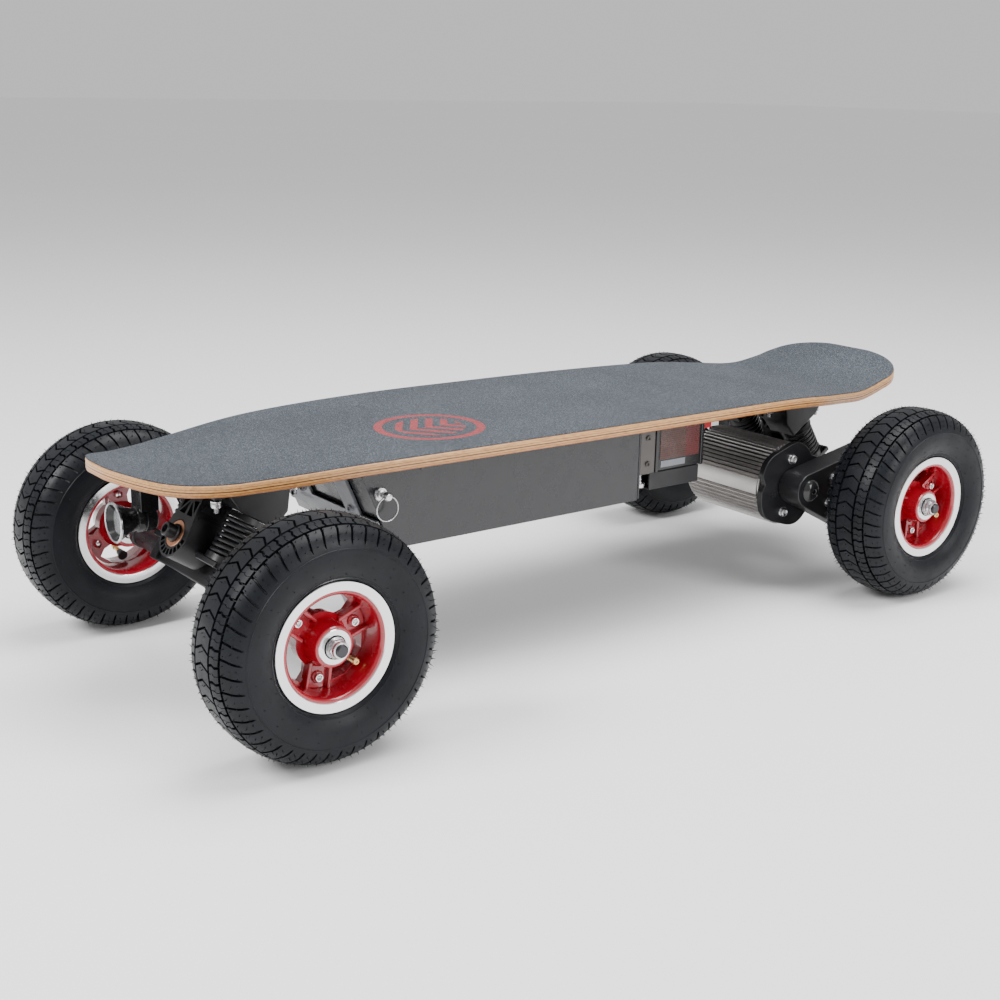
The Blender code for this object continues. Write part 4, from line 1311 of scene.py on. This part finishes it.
def build_lamp():
    """The headlamp: a flared bell on a necked body, with its reflector, lens and post."""
    x, z = -78.0, 158.0
    bell = turned("lamp_bell", [
        (-481, 20.0), (-480.4, 20.6), (-479, 20.4), (-474, 17.6), (-468, 14.4), (-464, 12.9),
        (-460, 12.4), (-458.5, 12.5), (-458, 13.4), (-457, 13.8), (-451, 13.8), (-450.6, 13.3),
        (-449.4, 13.3), (-449, 13.8), (-438.8, 13.8), (-438, 13.2), (-438, 0), (-462, 0),
        (-464, 10), (-474, 15), (-480.6, 18.9),
    ], gloss_black, 72, "Y")
    post = rounded(box("post", (x - 12, -456, z + 9), (x + 12, -436, 217.6), gloss_black), 1.2, 3)
    stands_for(joined(moved(bell, x, 0, z), post), "board", "gloss_black", "lamp_housing")
    dish = turned("lamp_dish", [
        (-474.6, 15.2), (-470, 12.4), (-466, 8.0), (-465, 0),
        (-464.6, 0), (-465.4, 8.4), (-469.6, 12.8), (-474.2, 15.4),
    ], dark_steel, 56, "Y")
    rim = turned("lamp_rim", [
        (-481.2, 18.8), (-481.6, 19.8), (-481.0, 20.9), (-479.2, 20.9), (-479.2, 19.6), (-479.6, 18.8),
    ], steel, 72, "Y")
    for piece in (dish, rim):
        stands_for(moved(piece, x, 0, z), "board", "gloss_black")
    lens = turned("lamp_window", [
        (-474.9, 0), (-474.6, 8.0), (-474.0, 14.4), (-472.4, 14.2), (-472.8, 8.0), (-473.2, 0),
    ], lens_glass, 56, "Y")
    stands_for(moved(lens, x, 0, z), "board", "lamp_glass", "lamp_lens")


def build_wiring():
    """The motor cable, short controller leads and the battery connector behind the controller."""
    route = [(10, 171, 200), (10, 184, 203), (6, 200, 206), (-2, 220, 204), (-8, 244, 196)]
    route += [(-10, 262, 186), (-10, 276, 176), (-9, 284, 160), (-4, 286, 150)]
    cable = tube("motor_lead", curve_through(route), 4.0, cable_black, 14)
    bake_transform(cable)
    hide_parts("motor_cable")
    for k, (x, lift) in enumerate(((74, 0), (66, 3), (57, -2), (48, 2))):
        route = [(x, 170, 206), (x - 2, 184, 212 + lift), (x - 10, 204, 214 + lift * 0.5)]
        route += [(x - 26, 236, 216), (x - 40, 276, 217), (x - 46, 318, 216)]
        path = curve_through(route)
        lead = tube(f"controller_lead_{k + 1}", path, 2.3, cable_black, 10)
        stands_for(lead, "board", "cable_rubber")
    plug = rounded(box("lead_plug", (74, 172, 206), (88, 190, 217), red_plastic), 1.0, 2)
    stands_for(plug, "board", "switch_red")
    socket = rounded(box("lead_socket", (75, 190.3, 207), (87, 203, 216), white_plastic), 1.0, 2)
    stands_for(socket, "board", "grey_steel")


# ---------------------------------------------------------------- drive

MOTOR = (288.0, 131.0)
AXLE = (400.0, 114.0)
MOTOR_RADIUS = 50.0
ROTOR_BORE = 8.0
SHAFT_BORE = 9.0


def motor_section():
    """The extrusion's outline: groups of fine ribs between broad plain bands."""
    points = []
    for k in range(240):
        degrees = 1.5 * k
        angle = radians(degrees)
        bands = ((176, 10), (75, 6), (350, 12))
        plain = any(abs((degrees - band + 180) % 360 - 180) < width for band, width in bands)
        reach = MOTOR_RADIUS - (0.0 if plain else (0.0, 0.0, 2.3, 2.3)[k % 4])
        points.append((MOTOR[0] + reach * cos(angle), MOTOR[1] + reach * sin(angle)))
    return points


def build_motor():
    """The ribbed motor body with painted shade in its rib grooves and its two end caps, bored for the rotor,
    and the cable's gland.
    """
    body = prism("motor_body", motor_section(), 3.0, 119.4, extrusion)
    body.data.materials.append(groove_shade_metal)
    # Faces deep in the rib grooves take the dark groove metal: painted shade in the grooves.
    for face in body.data.polygons:
        out = hypot(face.center.y / MM - MOTOR[0], face.center.z / MM - MOTOR[1])
        if 40.0 < out < MOTOR_RADIUS - 1.6:
            face.material_index = 1
    caps = []
    for low, high, radius in ((0.3, 3.4, 48.6), (117.0, 119.8, 47.4)):
        cap = turned("end_cap", [
            (low, 0), (low, radius - 1.2), (low + 1.0, radius),
            (high - 0.6, radius), (high, radius - 0.6), (high, 0),
        ], extrusion, 96)
        caps.append(moved(cap, 0, *MOTOR))
    for piece in (body, caps[1]):
        bored(piece, ROTOR_BORE, 40, 130, "X", (0, *MOTOR))
    stands_for(joined(body, *caps), "rear_truck", "motor_aluminium", "motor_housing")
    gland = turned("cable_gland", [(-6, 0), (-6, 5.5), (-4, 7.5), (0.4, 8.0), (0.4, 0)], cable_black, 28)
    stands_for(moved(gland, 0, MOTOR[0] - 2, MOTOR[1] + 19), "rear_truck", "cable_rubber")


def plate_outline():
    """The lobed end plate: round at the motor with five lobes, and an arm back to the axle."""
    arc = []
    for k in range(73):
        degrees = 42 + 276 * k / 72
        angle = radians(degrees)
        reach = MOTOR_RADIUS + 2.2 * cos(5 * angle)
        notch = abs((degrees - 172 + 180) % 360 - 180)
        if notch < 9:
            reach -= 5.0 * cos(radians(notch * 10))
        arc.append((MOTOR[0] + reach * cos(angle), MOTOR[1] + reach * sin(angle)))
    return arc + circle(24.0, 24, AXLE, radians(-80), radians(160))


def build_end_plate():
    """The lobed plate with its openings for the axle and the motor's shaft."""
    plate = prism("end_plate", plate_outline(), 120.0, 127.8, casting)
    bored(plate, 11.4, 100, 150, "X", (0, *AXLE))
    bored(plate, SHAFT_BORE, 100, 150, "X", (0, *MOTOR))
    stands_for(rounded(plate, 1.4, 3, 40.0), "rear_truck", "black_steel", "motor_mount_plate")


def build_belt_guard():
    """The moulded guard over the belt, open at the axle, with a domed cap over the motor's shaft."""
    cover = prism("belt_guard", belt_outline((MOTOR, 20.5), (AXLE, 57), 48), 128.3, 160, cover_black)
    cut(cover, prism("hollow", belt_outline((MOTOR, 18), (AXLE, 54.5), 48), 120, 157, cover_black))
    bored(cover, 51, 110, 170, "X", (0, *AXLE), 72)
    triangulated(rounded(cover, 1.3, 4))
    stands_for(cover, "rear_truck", "black_plastic", "belt_cover")
    cap = turned("guard_cap", [
        (159, 0), (159, 13.6), (161.5, 13.4), (164.4, 11.2), (166.4, 7.6), (167, 4.4), (167, 0),
    ], gloss_black, 56)
    cut(cap, prism("hex", circle(3.6, 6), 163.5, 170, gloss_black))
    stands_for(moved(cap, 0, *MOTOR), "rear_truck", "black_plastic")


def build_drive():
    """The end plate, the belt guard and their screws; the belt, pulley and rotor stay the CAD's own."""
    build_end_plate()
    build_belt_guard()
    screws = []
    for x, y, z, size in (
        (127.8, 288, 163, 5.0), (127.8, 278, 99, 5.0), (160.0, 327, 142, 4.4), (160.0, 321, 112, 4.4),
    ):
        screws.append(moved(socket_screw("screw", size, 4.2, steel), x + 0.7, y, z))
        screws.append(moved(disc("washer", 0, 0.7, size + 1.4, steel, 28), x, y, z))
    stands_for(joined(*screws, name="drive_screws"), "rear_truck", "zinc_steel")
    for node, material in (("drive_belt", cable_black), ("wheel_pulley", extrusion), ("motor_rotor", steel)):
        resurface(node, material)


# ---------------------------------------------------------------- studio


def build_studio():
    floor = bmesh.new()
    bmesh.ops.create_grid(floor, x_segments=1, y_segments=1, size=30.0)
    paper = Recipe("studio_paper", 0.85, colour=(0.93, 0.93, 0.93))
    paper.set("Base Color", paper.mix(paper.noise(0.6, 3), (0.92, 0.92, 0.92), (0.95, 0.95, 0.95)))
    add("floor", floor, paper.made)

    world = bpy.data.worlds.new("studio")
    world.use_nodes = True
    backdrop = world.node_tree.nodes["Background"]
    backdrop.inputs["Color"].default_value = (1.0, 1.0, 1.0, 1.0)
    backdrop.inputs["Strength"].default_value = 0.7
    bpy.context.scene.world = world

    lights = (
        ("key", (-0.2, -2.4, 2.2), (1.1, 1.1), 92.0),
        ("top", (0.3, 0.5, 2.8), (2.0, 2.0), 96.0),
        ("side", (2.7, 0.9, 1.4), (0.9, 1.5), 44.0),
    )
    for name, place, size, power in lights:
        light = bpy.data.lights.new(name, "AREA")
        light.shape = "RECTANGLE"
        light.size, light.size_y = size
        light.energy = power
        lamp = linked(bpy.data.objects.new(name, light))
        lamp.location = place
        lamp.rotation_euler = (Vector((0, 0, 0.15)) - Vector(place)).to_track_quat("-Z", "Y").to_euler()


def build_camera():
    """A three-quarter view from the front left."""
    turn, tilt, roll = radians(52.63), radians(15.62), radians(1.12)
    back = Vector((sin(turn) * cos(tilt), -cos(turn) * cos(tilt), sin(tilt)))
    right = Vector((cos(turn), sin(turn), 0.0))
    up = back.cross(right)
    x_axis = right * cos(roll) + up * sin(roll)
    y_axis = up * cos(roll) - right * sin(roll)
    data = bpy.data.cameras.new("camera")
    data.lens = 54.5
    data.sensor_width = 36.0
    camera = linked(bpy.data.objects.new("camera", data))
    camera.matrix_world = Matrix.Translation((1.31461, -1.05627, 0.59681)) @ Matrix(
        (x_axis, y_axis, back)
    ).transposed().to_4x4()
    bpy.context.scene.camera = camera


build_deck()
build_wheels()
for truck in ("front", "rear"):
    build_truck_base(truck)
    build_kingpin(truck)
    build_hanger(truck)
    build_axle(truck)
    build_springs(truck)
for build in (
    build_deck_bolts, build_case, build_strap, build_latch, build_inlet, build_controller,
    build_lamp, build_wiring, build_motor, build_drive,
):
    build()
resurface("battery_pack", film_blue)
resurface("controller_unit", grey_coat)
build_studio()
build_camera()
